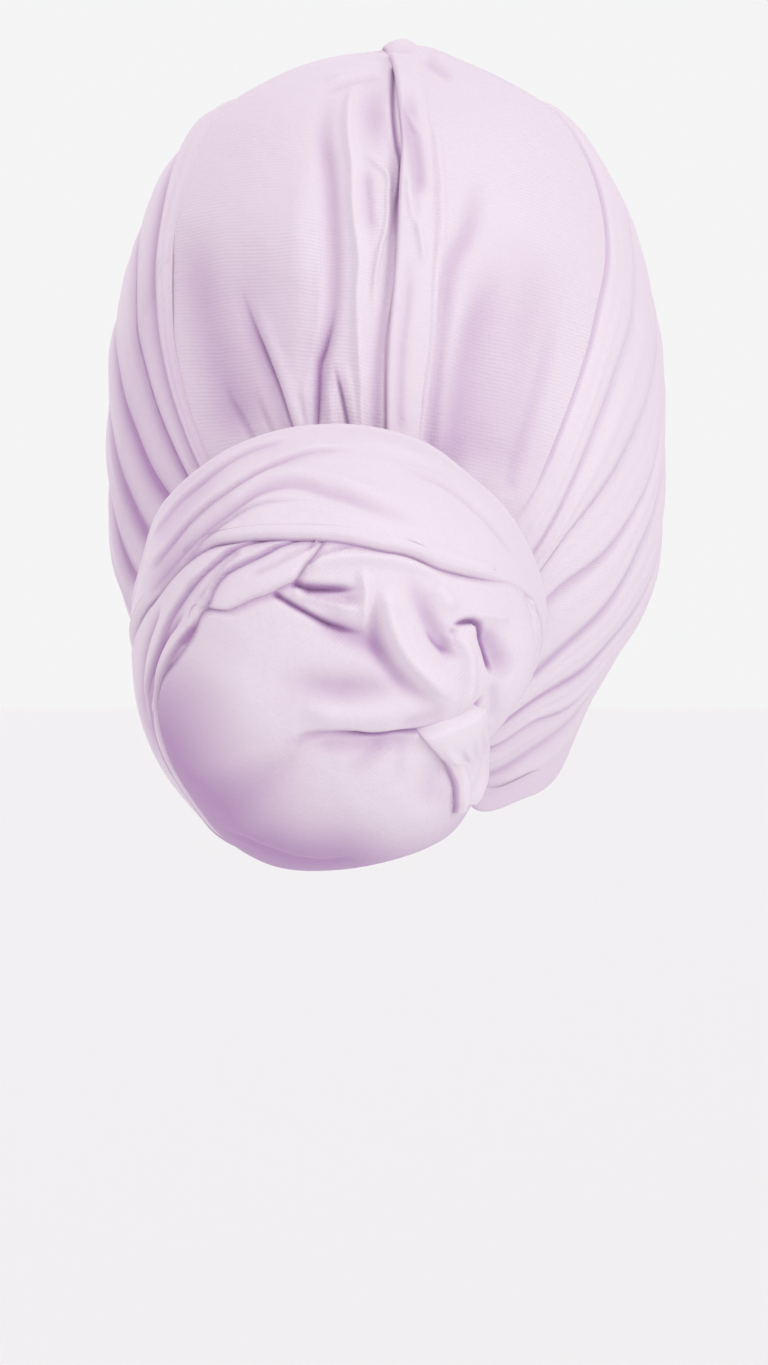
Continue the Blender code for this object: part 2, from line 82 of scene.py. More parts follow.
# Bun outline: angle round the bun (0 is the wearer's left, 90 is up), radius.
BUN_ROUND = (
    (0, 62.1), (20, 62.5), (40, 66.3), (60, 66.4), (75, 65.9), (90, 65.4),
    (110, 65.4), (130, 62.9), (150, 63.4), (165, 63.3), (180, 60.7),
    (195, 56.2), (210, 52.3), (225, 60.4), (240, 66.2), (255, 66.6),
    (270, 67.9), (287, 69.7), (300, 68.2), (315, 65.3), (330, 64.0),
    (345, 62.8))
BUN_HEIGHT = 68.0
BUN_BOX = 0.88
BAND_BACK = 18.0
BAND_ROLL = 14.0
BAND_INNER = 43.5
POUCH_MOUTH = 38.0
MOUTH_RADIUS = 34.0   # hole through the back of the crown into the bun

# How far over the bun each layer of the winding reaches (0 is the plane of
# the ring, 1 is the top of the bun): angle, reach.
BAND_EDGE = ((-60, -0.95), (-45, -0.72), (-30, -0.46), (-18, -0.22),
             (-6, -0.01), (6, 0.09), (16, 0.17), (24, 0.235), (37, 0.32),
             (48, 0.355), (57, 0.41), (66, 0.45), (75, 0.48), (88, 0.50),
             (105, 0.515), (118, 0.49), (129, 0.455), (138, 0.405),
             (145, 0.345), (152, 0.26), (160, 0.18), (170, 0.12),
             (185, 0.07), (200, 0.02), (225, -0.12), (240, -0.32),
             (252, -0.6))
RING_EDGE = ((0, 0.36), (11, 0.44), (24, 0.49), (32, 0.50), (41, 0.585),
             (51, 0.61), (60, 0.625), (70, 0.62), (80, 0.56), (90, 0.45),
             (105, 0.30), (120, 0.26), (150, 0.22), (180, 0.24), (210, 0.14),
             (225, 0.08), (240, 0.08), (255, 0.08), (270, 0.08), (285, 0.10),
             (300, 0.16), (313, 0.255), (325, 0.29), (335, 0.30),
             (347, 0.31))

# ------------------------------------------------------------------- folds --
# One row a fold: kind, width in pixels, height in millimetres, share of its
# length over which it starts and ends, points in the picture plane.
# V valley, R ridge, C sharp crease, L lap (the right-hand side lies on top).
CROWN_LINES = (
    ("C", 2.2, 2.0, 0.02, 0.35, ((394, 66), (393, 89), (393, 107), (394, 123), (397, 144), (401, 160), (400, 182), (397, 201), (396, 223), (397, 250))),
    ("C", 1.7, 0.9, 0.30, 0.02, ((397, 201), (396, 223), (397, 250), (397, 280), (394, 298), (388, 330), (386, 360), (386, 440), (386, 474))),
    ("V", 6.0, 1.5, 0.25, 0.10, ((388, 100), (389, 130), (394, 160), (394, 200), (392, 240), (387, 290), (380, 340), (376, 390), (374, 440), (373, 474))),
    ("V", 12.0, 1.8, 0.45, 0.55, ((377, 74), (372, 100), (373, 125), (376, 160))),
    ("R", 5.5, 2.0, 0.10, 0.15, ((358, 78), (352, 96), (349, 119), (350, 144), (353, 166), (354, 209), (357, 235), (360, 262), (358, 300), (360, 360), (365, 440), (367, 474))),
    ("R", 2.8, 1.2, 0.12, 0.25, ((362, 153), (370, 158), (377, 164), (386, 171), (389, 179), (388, 196), (388, 214), (386, 230), (380, 251), (375, 280), (373, 310))),
    ("V", 6.0, 1.2, 0.25, 0.30, ((364, 165), (366, 190), (368, 215), (371, 240))),
    ("V", 9.0, 2.0, 0.20, 0.20, ((330, 88), (323, 130), (328, 173), (332, 226), (333, 262), (332, 298), (327, 334), (320, 364), (318, 420), (317, 454))),
    ("C", 1.9, 1.7, 0.35, 0.02, ((333, 300), (331, 320), (323, 350), (318, 364), (317, 400), (316, 440), (315, 474))),
    ("R", 6.0, 0.9, 0.30, 0.15, ((318, 250), (322, 300), (314, 350), (308, 400), (306, 440), (304, 474))),
    ("R", 14.0, 1.0, 0.30, 0.20, ((305, 130), (300, 200), (300, 300), (298, 380), (300, 440), (301, 474))),
    ("C", 2.0, 1.8, 0.30, 0.02, ((332, 360), (336, 374), (342, 398), (350, 440), (356, 473))),
    ("R", 5.0, 1.0, 0.30, 0.10, ((343, 350), (350, 390), (358, 440), (363, 474))),
    ("R", 4.0, 0.8, 0.30, 0.10, ((324, 372), (330, 400), (334, 440), (337, 474))),
    ("V", 8.0, 0.9, 0.35, 0.05, ((228, 262), (238, 292), (249, 328), (264, 362), (278, 398), (290, 440), (299, 473))),
    ("C", 1.8, 1.7, 0.40, 0.02, ((236, 280), (250, 322), (264, 356), (279, 391), (294, 432), (297, 442), (307, 475))),
    ("R", 7.0, 0.9, 0.30, 0.10, ((250, 290), (264, 330), (282, 376), (302, 440), (312, 472))),
    ("V", 2.6, 0.8, 0.30, 0.05, ((362, 380), (365, 410), (366, 440), (367, 474))),
    ("V", 3.5, 1.1, 0.40, 0.05, ((214, 372), (226, 400), (244, 428), (256, 448), (273, 477))),
    ("V", 3.0, 0.9, 0.40, 0.05, ((250, 386), (262, 412), (276, 440), (291, 470))),
    ("V", 3.0, 0.8, 0.40, 0.05, ((296, 380), (303, 408), (308, 440), (313, 474))),
    ("V", 24.0, 2.3, 0.35, 0.20, ((190, 200), (196, 280), (210, 350), (232, 420), (246, 456))),
    ("V", 30.0, 1.4, 0.40, 0.45, ((248, 190), (250, 260), (258, 340), (268, 400), (280, 456))),
    ("V", 20.0, 0.9, 0.40, 0.35, ((290, 230), (298, 290), (304, 350), (306, 400))),
    ("V", 38.0, 1.7, 0.40, 0.15, ((540, 220), (522, 290), (506, 350), (494, 420), (484, 484))),
    ("R", 5.0, 1.5, 0.10, 0.10, ((430, 112), (437, 146), (441, 191), (441, 235), (436, 280), (435, 330), (429, 380), (420, 440), (415, 474))),
    ("V", 9.0, 1.7, 0.25, 0.05, ((482, 165), (477, 184), (473, 209), (466, 235), (452, 262), (444, 300), (439, 340), (434, 390), (430, 440), (427, 474))),
    ("V", 16.0, 1.5, 0.35, 0.10, ((500, 250), (485, 290), (468, 340), (458, 390), (450, 450), (446, 484))),
    ("R", 12.0, 1.0, 0.30, 0.20, ((476, 270), (458, 320), (448, 370), (440, 430), (436, 464))),
    ("R", 18.0, 1.2, 0.30, 0.20, ((520, 240), (510, 320), (500, 400), (490, 480))),
    ("V", 7.0, 0.8, 0.40, 0.10, ((560, 300), (545, 370), (524, 440), (505, 500))),
    ("V", 5.0, 1.2, 0.20, 0.40, ((424, 59), (432, 64), (442, 71), (456, 80))),
    ("R", 6.0, 1.0, 0.30, 0.20, ((322, 84), (345, 76), (366, 71), (386, 68))),
    ("V", 4.0, 0.8, 0.30, 0.20, ((318, 96), (340, 86), (362, 79), (384, 77))),
)
STRIP_LINES = (
    ("V", 8.0, 2.0, 0.25, 0.20, ((403, 92), (406, 115), (409, 134), (414, 152), (417, 175), (418, 204))),
    ("R", 3.0, 1.1, 0.10, 0.30, ((397, 66), (400, 90), (404, 110), (414, 130), (424, 142))),
    ("R", 4.0, 1.2, 0.20, 0.20, ((406, 170), (409, 190), (412, 215), (420, 240), (424, 270))),
    ("V", 4.0, 0.8, 0.20, 0.30, ((412, 185), (414, 210), (414, 240))),
    ("V", 5.0, 0.9, 0.30, 0.10, ((408, 250), (406, 300), (400, 350), (398, 400), (398, 440))),
)
# Folds of the front wrap: valleys along it, one row a valley, its place across
# the wrap (0 is the lower edge, 1 the upper) at each place along.
VALLEY_ALONG = (-1.0, -0.8, -0.6, -0.4, 0.0, 0.4, 0.6, 0.7, 0.8, 1.0)
VALLEYS = (
    (0.10, 0.11, 0.10, 0.12, 0.14, 0.13, 0.12, 0.11, 0.085, 0.08),
    (0.24, 0.24, 0.25, 0.25, 0.27, 0.22, 0.17, 0.15, 0.17, 0.16),
    (0.35, 0.37, 0.38, 0.38, 0.40, 0.34, 0.28, 0.235, 0.235, 0.24),
    (0.50, 0.53, 0.53, 0.52, 0.53, 0.48, 0.45, 0.385, 0.32, 0.32),
    (0.70, 0.71, 0.69, 0.66, 0.65, 0.58, 0.54, 0.54, 0.57, 0.53),
    (0.84, 0.84, 0.82, 0.80, 0.77, 0.71, 0.69, 0.68, 0.69, 0.66),
    (0.93, 0.93, 0.93, 0.92, 0.89, 0.87, 0.87, 0.85, 0.80, 0.76),
)
BAND_LINES = (
    ("C", 1.6, 0.5, 0.30, 0.10, ((290, 441), (278, 444), (250, 453), (225, 466), (202, 482), (178, 503), (160, 528), (147, 553))),
    ("C", 1.6, 0.6, 0.35, 0.08, ((339, 452), (307, 455), (278, 464), (250, 478), (225, 494), (203, 510), (178, 535), (150, 575))),
    ("C", 1.7, 0.7, 0.40, 0.08, ((300, 485), (282, 485), (258, 492), (238, 506), (214, 524), (189, 546), (160, 578), (146, 601))),
    ("C", 1.5, 0.5, 0.40, 0.10, ((293, 501), (260, 505), (239, 514), (218, 528), (196, 546), (170, 575), (152, 600))),
    ("L", 9.0, 1.0, 0.10, 0.20, ((290, 440), (278, 443), (250, 452), (225, 465), (202, 481), (178, 502), (160, 527), (147, 552))),
    ("L", 10.0, 1.2, 0.15, 0.08, ((360, 452), (339, 451), (307, 454), (278, 463), (250, 477), (225, 493), (203, 509), (178, 534), (150, 574))),
    ("V", 6.0, 1.8, 0.30, 0.08, ((430, 528), (407, 520), (378, 509), (350, 498), (321, 490), (300, 484), (282, 484), (258, 491), (238, 505), (214, 523), (189, 545), (160, 577), (146, 600))),
    ("R", 5.0, 1.0, 0.30, 0.15, ((400, 500), (364, 488), (330, 478), (300, 473), (270, 476), (245, 490), (220, 508))),
    ("R", 5.0, 0.6, 0.35, 0.20, ((412, 536), (380, 526), (340, 515), (300, 507), (270, 509), (240, 522))),
    ("L", 6.0, 0.9, 0.30, 0.10, ((325, 502), (293, 500), (260, 504), (239, 513), (218, 527), (196, 545), (170, 574))),
    ("V", 5.0, 0.4, 0.25, 0.30, ((307, 448), (357, 452), (410, 463), (450, 481), (485, 513), (510, 548))),
    ("R", 14.0, 0.7, 0.35, 0.35, ((270, 456), (330, 452), (380, 456), (430, 472))),
    ("V", 15.0, 1.1, 0.40, 0.25, ((236, 456), (204, 484), (178, 520), (158, 566))),
    ("R", 8.0, 0.9, 0.25, 0.20, ((330, 440), (380, 446), (430, 464), (470, 494), (500, 532))),
    ("V", 3.0, 0.7, 0.25, 0.25, ((396, 467), (438, 484), (472, 509), (501, 540), (520, 566))),
    ("R", 6.0, 0.8, 0.30, 0.10, ((400, 546), (440, 555), (470, 565), (496, 572))),
    ("V", 4.0, 0.6, 0.30, 0.20, ((222, 455), (196, 474), (172, 500), (156, 526))),
)
RING_LINES = (
    ("C", 1.7, 1.3, 0.03, 0.15, ((276, 531), (264, 535), (239, 544), (213, 564), (192, 585), (170, 617), (160, 642), (149, 677), (145, 712))),
    ("C", 1.7, 1.3, 0.03, 0.25, ((302, 533), (293, 537), (263, 553), (227, 571), (213, 587), (206, 603), (195, 621), (175, 647), (159, 677), (153, 704))),
    ("C", 1.6, 1.0, 0.20, 0.20, ((186, 606), (168, 634), (153, 670), (148, 706), (152, 741), (166, 778))),
    ("C", 1.6, 1.0, 0.20, 0.15, ((161, 602), (146, 641), (141, 677), (143, 713), (152, 748))),
    ("L", 7.0, 1.7, 0.03, 0.10, ((276, 530), (264, 534), (239, 543), (214, 563), (193, 584), (171, 616), (161, 641), (150, 677), (146, 712))),
    ("L", 6.0, 1.7, 0.03, 0.25, ((302, 532), (293, 536), (264, 552), (228, 570), (214, 586), (207, 602), (196, 620), (176, 646), (160, 676), (154, 704))),
    ("V", 3.0, 0.9, 0.10, 0.30, ((240, 548), (222, 566), (204, 590), (190, 612))),
    ("V", 3.0, 1.0, 0.20, 0.20, ((320, 540), (296, 552), (270, 566), (244, 578))),
    ("V", 3.0, 1.2, 0.15, 0.10, ((161, 602), (146, 641), (141, 677), (143, 713), (152, 748))),
    ("V", 3.0, 1.1, 0.15, 0.10, ((186, 606), (168, 634), (153, 670), (148, 706), (152, 741), (166, 778))),
    ("R", 3.5, 0.8, 0.15, 0.10, ((180, 626), (164, 652), (152, 684), (150, 716))),
    ("C", 3.0, 1.2, 0.20, 0.40, ((192, 626), (186, 636), (176, 648))),
)
POUCH_LINES = (
    ("C", 3.4, 3.4, 0.08, 0.45, ((289, 580), (298, 584), (307, 587), (336, 588), (364, 589))),
    ("V", 8.0, 2.4, 0.15, 0.30, ((296, 590), (316, 597), (340, 601), (366, 599))),
    ("R", 7.0, 2.3, 0.15, 0.35, ((299, 576), (311, 566), (330, 560), (357, 558), (393, 560), (428, 570), (456, 584))),
    ("V", 3.0, 1.4, 0.10, 0.40, ((307, 566), (321, 554), (340, 547), (360, 543))),
    ("C", 2.8, 2.8, 0.08, 0.45, ((268, 590), (286, 601), (307, 613), (328, 624), (350, 631), (371, 635))),
    ("V", 12.0, 2.6, 0.35, 0.45, ((306, 612), (326, 624), (348, 634), (366, 643), (380, 656), (394, 676))),
    ("R", 6.0, 2.4, 0.20, 0.35, ((288, 590), (312, 598), (346, 606), (366, 610))),
    ("V", 8.5, 2.4, 0.40, 0.40, ((369, 570), (371, 596), (374, 624), (380, 650), (399, 678), (426, 700), (456, 712))),
    ("R", 6.0, 2.2, 0.20, 0.35, ((360, 566), (366, 590), (366, 612), (364, 632))),
    ("R", 9.0, 3.2, 0.15, 0.25, ((384, 584), (390, 622), (408, 658), (438, 688), (460, 702))),
    ("V", 8.5, 2.4, 0.55, 0.15, ((402, 566), (416, 590), (428, 616), (440, 638), (450, 652), (455, 664))),
    ("C", 2.6, 1.1, 0.45, 0.25, ((424, 626), (434, 640), (444, 650), (452, 652))),
    ("R", 5.0, 1.8, 0.20, 0.40, ((450, 632), (453, 645), (456, 658))),
    ("R", 8.0, 2.0, 0.25, 0.30, ((432, 584), (446, 600), (455, 614))),
    ("V", 15.0, 2.2, 0.50, 0.50, ((262, 674), (300, 684), (340, 690), (380, 688), (420, 680))),
    ("R", 13.0, 1.9, 0.25, 0.40, ((296, 708), (330, 714), (370, 714), (404, 710), (430, 704))),
    ("V", 9.0, 1.2, 0.40, 0.30, ((388, 724), (412, 723), (434, 718), (452, 708))),
    ("V", 5.0, 1.5, 0.40, 0.20, ((270, 746), (293, 743), (307, 737), (336, 735), (378, 737))),
    ("C", 2.2, 2.1, 0.45, 0.10, ((300, 738), (320, 735), (336, 734), (378, 736), (393, 734), (418, 732), (439, 727), (457, 721), (474, 708), (484, 692))),
    ("V", 8.0, 1.7, 0.25, 0.25, ((300, 748), (336, 746), (365, 745), (395, 742), (424, 740))),
    ("V", 9.0, 1.2, 0.30, 0.55, ((392, 734), (376, 750), (356, 766), (336, 780))),
    ("V", 7.0, 0.7, 0.30, 0.60, ((398, 736), (400, 762), (392, 792))),
    ("C", 2.6, 3.4, 0.25, 0.15, ((450, 628), (459, 623), (478, 622), (484, 641), (489, 663), (493, 675))),
    ("V", 9.0, 2.6, 0.30, 0.40, ((482, 622), (492, 642), (501, 660), (504, 684))),
    ("R", 4.0, 1.4, 0.20, 0.30, ((478, 616), (494, 617), (510, 621))),
    ("R", 7.0, 2.4, 0.20, 0.30, ((460, 632), (468, 663), (465, 695), (452, 716))),
    ("V", 3.0, 1.2, 0.20, 0.30, ((452, 626), (455, 640), (457, 654))),
    ("R", 12.0, 1.6, 0.30, 0.30, ((520, 620), (524, 660), (512, 700), (500, 730))),
    ("V", 5.0, 1.0, 0.30, 0.30, ((492, 680), (494, 700), (492, 722))),
    ("V", 2.4, 0.9, 0.20, 0.20, ((222, 826), (235, 836), (262, 851), (292, 862), (325, 866), (360, 860))),
    ("R", 26.0, 1.3, 0.35, 0.50, ((226, 640), (236, 680), (254, 716), (282, 744))),
    ("V", 26.0, 1.2, 0.30, 0.50, ((226, 826), (262, 846), (306, 856), (352, 852), (392, 838), (420, 822))),
    ("V", 16.0, 0.9, 0.35, 0.35, ((430, 752), (434, 780), (428, 812))),
)
TAIL_LINES = (
    ("V", 4.0, 1.4, 0.15, 0.15, ((478, 722), (476, 752), (468, 790), (458, 818))),
    ("R", 4.0, 1.2, 0.15, 0.15, ((486, 722), (484, 756), (476, 796), (464, 822))),
    ("V", 4.0, 1.2, 0.25, 0.20, ((452, 738), (460, 760), (464, 790), (460, 812))),
    ("R", 5.0, 1.2, 0.25, 0.20, ((440, 740), (450, 762), (457, 792), (455, 815))),
    ("V", 3.0, 0.8, 0.25, 0.20, ((466, 728), (468, 756), (464, 786))),
)


# ----------------------------------------------------------- curves, grids --
def smooth_curve(xs, ys, x):
    """Monotone cubic through the rows of a table."""
    xs = np.asarray(xs, float)
    ys = np.asarray(ys, float)
    x = np.asarray(x, float)
    step = np.diff(xs)
    rise = np.diff(ys) / step
    slope = np.zeros(len(xs))
    slope[0] = rise[0]
    slope[-1] = rise[-1]
    for i in range(1, len(xs) - 1):
        if rise[i - 1] * rise[i] > 0:
            w1 = 2 * step[i] + step[i - 1]
            w2 = step[i] + 2 * step[i - 1]
            slope[i] = (w1 + w2) / (w1 / rise[i - 1] + w2 / rise[i])
    k = np.clip(np.searchsorted(xs, x, side="right") - 1, 0, len(xs) - 2)
    t = np.clip((x - xs[k]) / step[k], 0.0, 1.0)
    return ((2 * t**3 - 3 * t**2 + 1) * ys[k]
            + (t**3 - 2 * t**2 + t) * step[k] * slope[k]
            + (-2 * t**3 + 3 * t**2) * ys[k + 1]
            + (t**3 - t**2) * step[k] * slope[k + 1])


def round_curve(table, degrees, column=1):
    rows = np.array(table, float)
    angles = np.concatenate([rows[-2:, 0] - 360, rows[:, 0], rows[:2, 0] + 360])
    values = np.concatenate([rows[-2:, column], rows[:, column],
                             rows[:2, column]])
    return smooth_curve(angles, values, np.mod(degrees, 360.0))


def soft(x, low=0.0, high=1.0):
    t = np.clip((x - low) / (high - low), 0.0, 1.0)
    return t * t * (3 - 2 * t)


def spline(points, count):
    """Catmull-Rom curve through points, resampled evenly."""
    p = np.array(points, float)
    if len(p) < 3:
        t = np.linspace(0, 1, count)[:, None]
        return p[0] * (1 - t) + p[-1] * t
    q = np.vstack([2 * p[0] - p[1], p, 2 * p[-1] - p[-2]])
    out = []
    for i in range(1, len(q) - 2):
        t = np.linspace(0, 1, 12, endpoint=False)[:, None]
        a, b, c, d = q[i - 1], q[i], q[i + 1], q[i + 2]
        out.append(0.5 * (2 * b + (c - a) * t + (2 * a - 5 * b + 4 * c - d) * t**2
                          + (3 * b - a - 3 * c + d) * t**3))
    out = np.vstack(out + [p[-1:]])
    size = np.concatenate([[0], np.cumsum(np.linalg.norm(np.diff(out, axis=0),
                                                         axis=1))])
    at = np.linspace(0, size[-1], count)
    return np.stack([np.interp(at, size, out[:, k]) for k in range(2)], -1)


def line_field(u, v, points):
    """Signed distance to a line (right-hand side is positive) and place along
    it, for places in the picture plane."""
    rough = np.linalg.norm(np.diff(np.array(points, float), axis=0),
                           axis=1).sum()
    p = spline(points, int(np.clip(rough / 6.0, 6, 60)))
    best = np.full(u.shape, 1e9)
    side = np.ones(u.shape)
    place = np.zeros(u.shape)
    count = len(p) - 1
    for i in range(count):
        ax, ay = p[i]
        bx, by = p[i + 1] - p[i]
        size = bx * bx + by * by
        t = np.clip(((u - ax) * bx + (v - ay) * by) / size, 0, 1)
        dx, dy = u - ax - t * bx, v - ay - t * by
        d = dx * dx + dy * dy
        near = d < best
        best = np.where(near, d, best)
        side = np.where(near, bx * dy - by * dx, side)
        place = np.where(near, (i + t) / count, place)
    return np.sqrt(best) * np.where(side < 0, -1.0, 1.0), place


def fold_lines(u, v, table, weight):
    """Lift in millimetres and painted shade from a table of lines of folds: painted shade in valleys, creases and
    under laps, painted highlight on ridges and on the top of laps.
    """
    lift = np.zeros(u.shape)
    shade = np.zeros(u.shape)
    for kind, width, height, start, end, points in table:
        p = np.array(points, float)
        reach = 3.2 * width + 4
        m = ((u > p[:, 0].min() - reach) & (u < p[:, 0].max() + reach)
             & (v > p[:, 1].min() - reach) & (v < p[:, 1].max() + reach)
             & (weight > 0.01))
        if not m.any():
            continue
        d, t = line_field(u[m], v[m], points)
        fade = soft(t, 0, max(start, 1e-3)) * soft(1 - t, 0, max(end, 1e-3))
        fade = fade * weight[m]
        if kind == "V":
            hump = np.exp(-(d / width) ** 2)
            lift[m] -= height * fade * hump
            shade[m] += 0.22 * height * fade * hump
        elif kind == "R":
            hump = np.exp(-(d / width) ** 2)
            lift[m] += height * fade * hump
            shade[m] -= 0.12 * height * fade * hump
        elif kind == "C":
            hump = np.exp(-(np.abs(d) / width) ** 1.3)
            lift[m] -= height * fade * hump
            shade[m] += 0.42 * height * fade * np.exp(-(d / (1.2 * width)) ** 2)
        else:
            top = 0.5 + 0.5 * np.tanh(d / 1.1)
            over = height * np.exp(-np.maximum(d, 0) / width)
            under = 0.4 * height * np.exp(np.minimum(d, 0) / (0.6 * width))
            lift[m] += fade * (top * over - (1 - top) * under)
            shade[m] += fade * height * (
                0.42 * (1 - top) * np.exp(np.minimum(d, 0) / (0.5 * width))
                - 0.10 * top * np.exp(-np.maximum(d, 0) / (0.5 * width)))
    return lift, shade


def to_picture(p):
    f = EYE[1] / (EYE[1] - p[..., 1])
    return (384 - (p[..., 0] - EYE[0]) / PIXEL * f,
            682.5 - (p[..., 2] - EYE[2]) / PIXEL * f)


def facing(p, n):
    """How squarely a place faces the back of the head, 0 to 1."""
    to_eye = np.array(EYE) - p
    to_eye /= np.linalg.norm(to_eye, axis=-1, keepdims=True)
    return (n * to_eye).sum(-1)


def noise(x, y, seed, octaves=3):
    """Smooth repeatable noise over two coordinates."""
    r = np.random.default_rng(seed)
    out = np.zeros(np.broadcast(x, y).shape)
    size = 1.0
    for k in range(octaves):
        for _ in range(4):
            a = r.uniform(0, 2 * math.pi)
            f = 2**k * r.uniform(0.7, 1.3)
            out = out + size * np.sin(f * (x * math.cos(a) + y * math.sin(a))
                                      + r.uniform(0, 2 * math.pi))
        size *= 0.5
    return out / 4.0


def resample(grid, ti, tj):
    """Smooth values of a grid at fractional places along both indices."""
    def axis(values, t, which):
        n = values.shape[which]
        k = np.clip(np.floor(t).astype(int), 0, n - 2)
        f = t - k
        w = (-0.5 * f**3 + f**2 - 0.5 * f, 1.5 * f**3 - 2.5 * f**2 + 1,
             -1.5 * f**3 + 2 * f**2 + 0.5 * f, 0.5 * f**3 - 0.5 * f**2)
        out = 0
        for s in range(4):
            part = np.take(values, np.clip(k + s - 1, 0, n - 1), axis=which)
            shape = [1] * values.ndim
            shape[which] = len(t)
            out = out + part * w[s].reshape(shape)
        return out
    return axis(axis(grid, ti, 0), tj, 1)


def grid_normals(grid, around, centre):
    """Unit normals of a grid of points, away from a centre."""
    if around:
        du = np.roll(grid, -1, 0) - np.roll(grid, 1, 0)
    else:
        du = np.gradient(grid, axis=0)
    dv = np.gradient(grid, axis=1)
    n = np.cross(du, dv)
    n /= np.maximum(np.linalg.norm(n, axis=-1, keepdims=True), 1e-9)
    flip = (n * (grid - centre)).sum(-1, keepdims=True) < 0
    return np.where(flip, -n, n)


# ------------------------------------------------------------------- crown --
LEVEL_ROOT = np.sqrt(CROWN_LEVELS[:, 0])


def crown_section(depth):
    root = np.sqrt(np.maximum(depth, 0.0))
    half = smooth_curve(LEVEL_ROOT, CROWN_LEVELS[:, 1], root)
    front = smooth_curve(LEVEL_ROOT, CROWN_LEVELS[:, 2], root)
    back = smooth_curve(LEVEL_ROOT, CROWN_LEVELS[:, 3], root)
    middle = 0.5 * (back - front) + 6 * depth / (depth + 40.0)
    return half, front, back, middle


def crown_point(angle, depth):
    turn = np.radians(angle + 90.0)
    half, front, back, middle = crown_section(depth)
    s, c = np.sin(turn), np.cos(turn)
    y = middle + np.where(s > 0, back - middle, front + middle) * s
    return np.stack(np.broadcast_arrays(half * c, y, TOP - depth + 0 * turn), -1)


def inside_crown(p):
    depth = TOP - p[..., 2]
    half, front, back, middle = crown_section(np.clip(depth, 1e-4, 246.0))
    reach = np.where(p[..., 1] > middle, back - middle, front + middle)
    share = (p[..., 0] / half) ** 2 + ((p[..., 1] - middle) / reach) ** 2
    return (share < 1.0) & (depth > 0)


def onto_crown(target):
    ray = target - RAY_CENTRE
    ray = ray / np.linalg.norm(ray, axis=-1, keepdims=True)
    near = np.full(target.shape[:-1], 20.0)
    far = np.full(target.shape[:-1], 200.0)
    for _ in range(24):
        mid = 0.5 * (near + far)
        hit = inside_crown(RAY_CENTRE + ray * mid[..., None])
        near = np.where(hit, mid, near)
        far = np.where(hit, far, mid)
    return RAY_CENTRE + ray * near[..., None]


def crown_back(x, z):
    half, front, back, middle = crown_section(np.clip(TOP - z, 0.5, 246.0))
    return middle + (back - middle) * np.sqrt(np.clip(1 - (x / half) ** 2, 0, 1))


# --------------------------------------------------------------------- bun --
BUN_UP = np.array([0.0, math.sin(BUN_TILT), math.cos(BUN_TILT)])
BUN_AXIS = np.array([0.0, math.cos(BUN_TILT), -math.sin(BUN_TILT)])
BUN_SIDE = np.array([1.0, 0.0, 0.0])


def bun_point(degrees, radius, height):
    turn = np.radians(degrees)
    return (BUN_CENTRE + (radius * np.cos(turn))[..., None] * BUN_SIDE
            + (radius * np.sin(turn))[..., None] * BUN_UP
            + height[..., None] * BUN_AXIS)


def bun_hull(degrees, way):
    radius = round_curve(BUN_ROUND, degrees)
    c = np.abs(np.cos(np.radians(90.0 * way)))
    s = np.sin(np.radians(90.0 * way))
    roll = np.minimum(BAND_ROLL, radius - BAND_INNER - 3.0)
    r = np.where(way >= 0, radius * c**BUN_BOX, radius - roll * (1 - c))
    h = np.where(way >= 0, BUN_HEIGHT * np.abs(s)**BUN_BOX, BAND_BACK * s)
    return r, h


def hull_point(degrees, way):
    r, h = bun_hull(degrees, way)
    return bun_point(degrees, r, h)


def hull_normal(degrees, way):
    low, high = np.clip(way - 0.012, -1.1, 0.983), np.clip(way + 0.012, -0.9, 0.998)
    mid = 0.5 * (low + high)
    du = hull_point(degrees + 2.0, mid) - hull_point(degrees - 2.0, mid)
    dv = hull_point(degrees, high) - hull_point(degrees, low)
    n = np.cross(du, dv)
    n /= np.maximum(np.linalg.norm(n, axis=-1, keepdims=True), 1e-9)
    out = hull_point(degrees, mid) - (BUN_CENTRE + 8 * BUN_AXIS)
    return n * np.where((n * out).sum(-1, keepdims=True) < 0, -1, 1)


def hull_face(x, z):
    """Reach to the back of the bun at a place across and up."""
    low = np.full(x.shape, 0.14)
    high = np.full(x.shape, 0.999)

    def miss(way):
        height = BUN_HEIGHT * np.sin(np.radians(90 * way)) ** BUN_BOX
        rise = (z - BUN_CENTRE[2] + height * math.sin(BUN_TILT)) / math.cos(
            BUN_TILT)
        across = x - BUN_CENTRE[0]
        turn = np.degrees(np.arctan2(rise, across))
        return np.hypot(across, rise) - bun_hull(turn, way)[0], rise, height

    excess = np.clip(miss(low)[0], 0.0, 9.0)
    for _ in range(30):
        mid = 0.5 * (low + high)
        inside = miss(mid)[0] < 0
        low = np.where(inside, mid, low)
        high = np.where(inside, high, mid)
    over, rise, height = miss(low)
    return (BUN_CENTRE[1] + rise * math.sin(BUN_TILT)
            + height * math.cos(BUN_TILT) - 1.6 * excess)


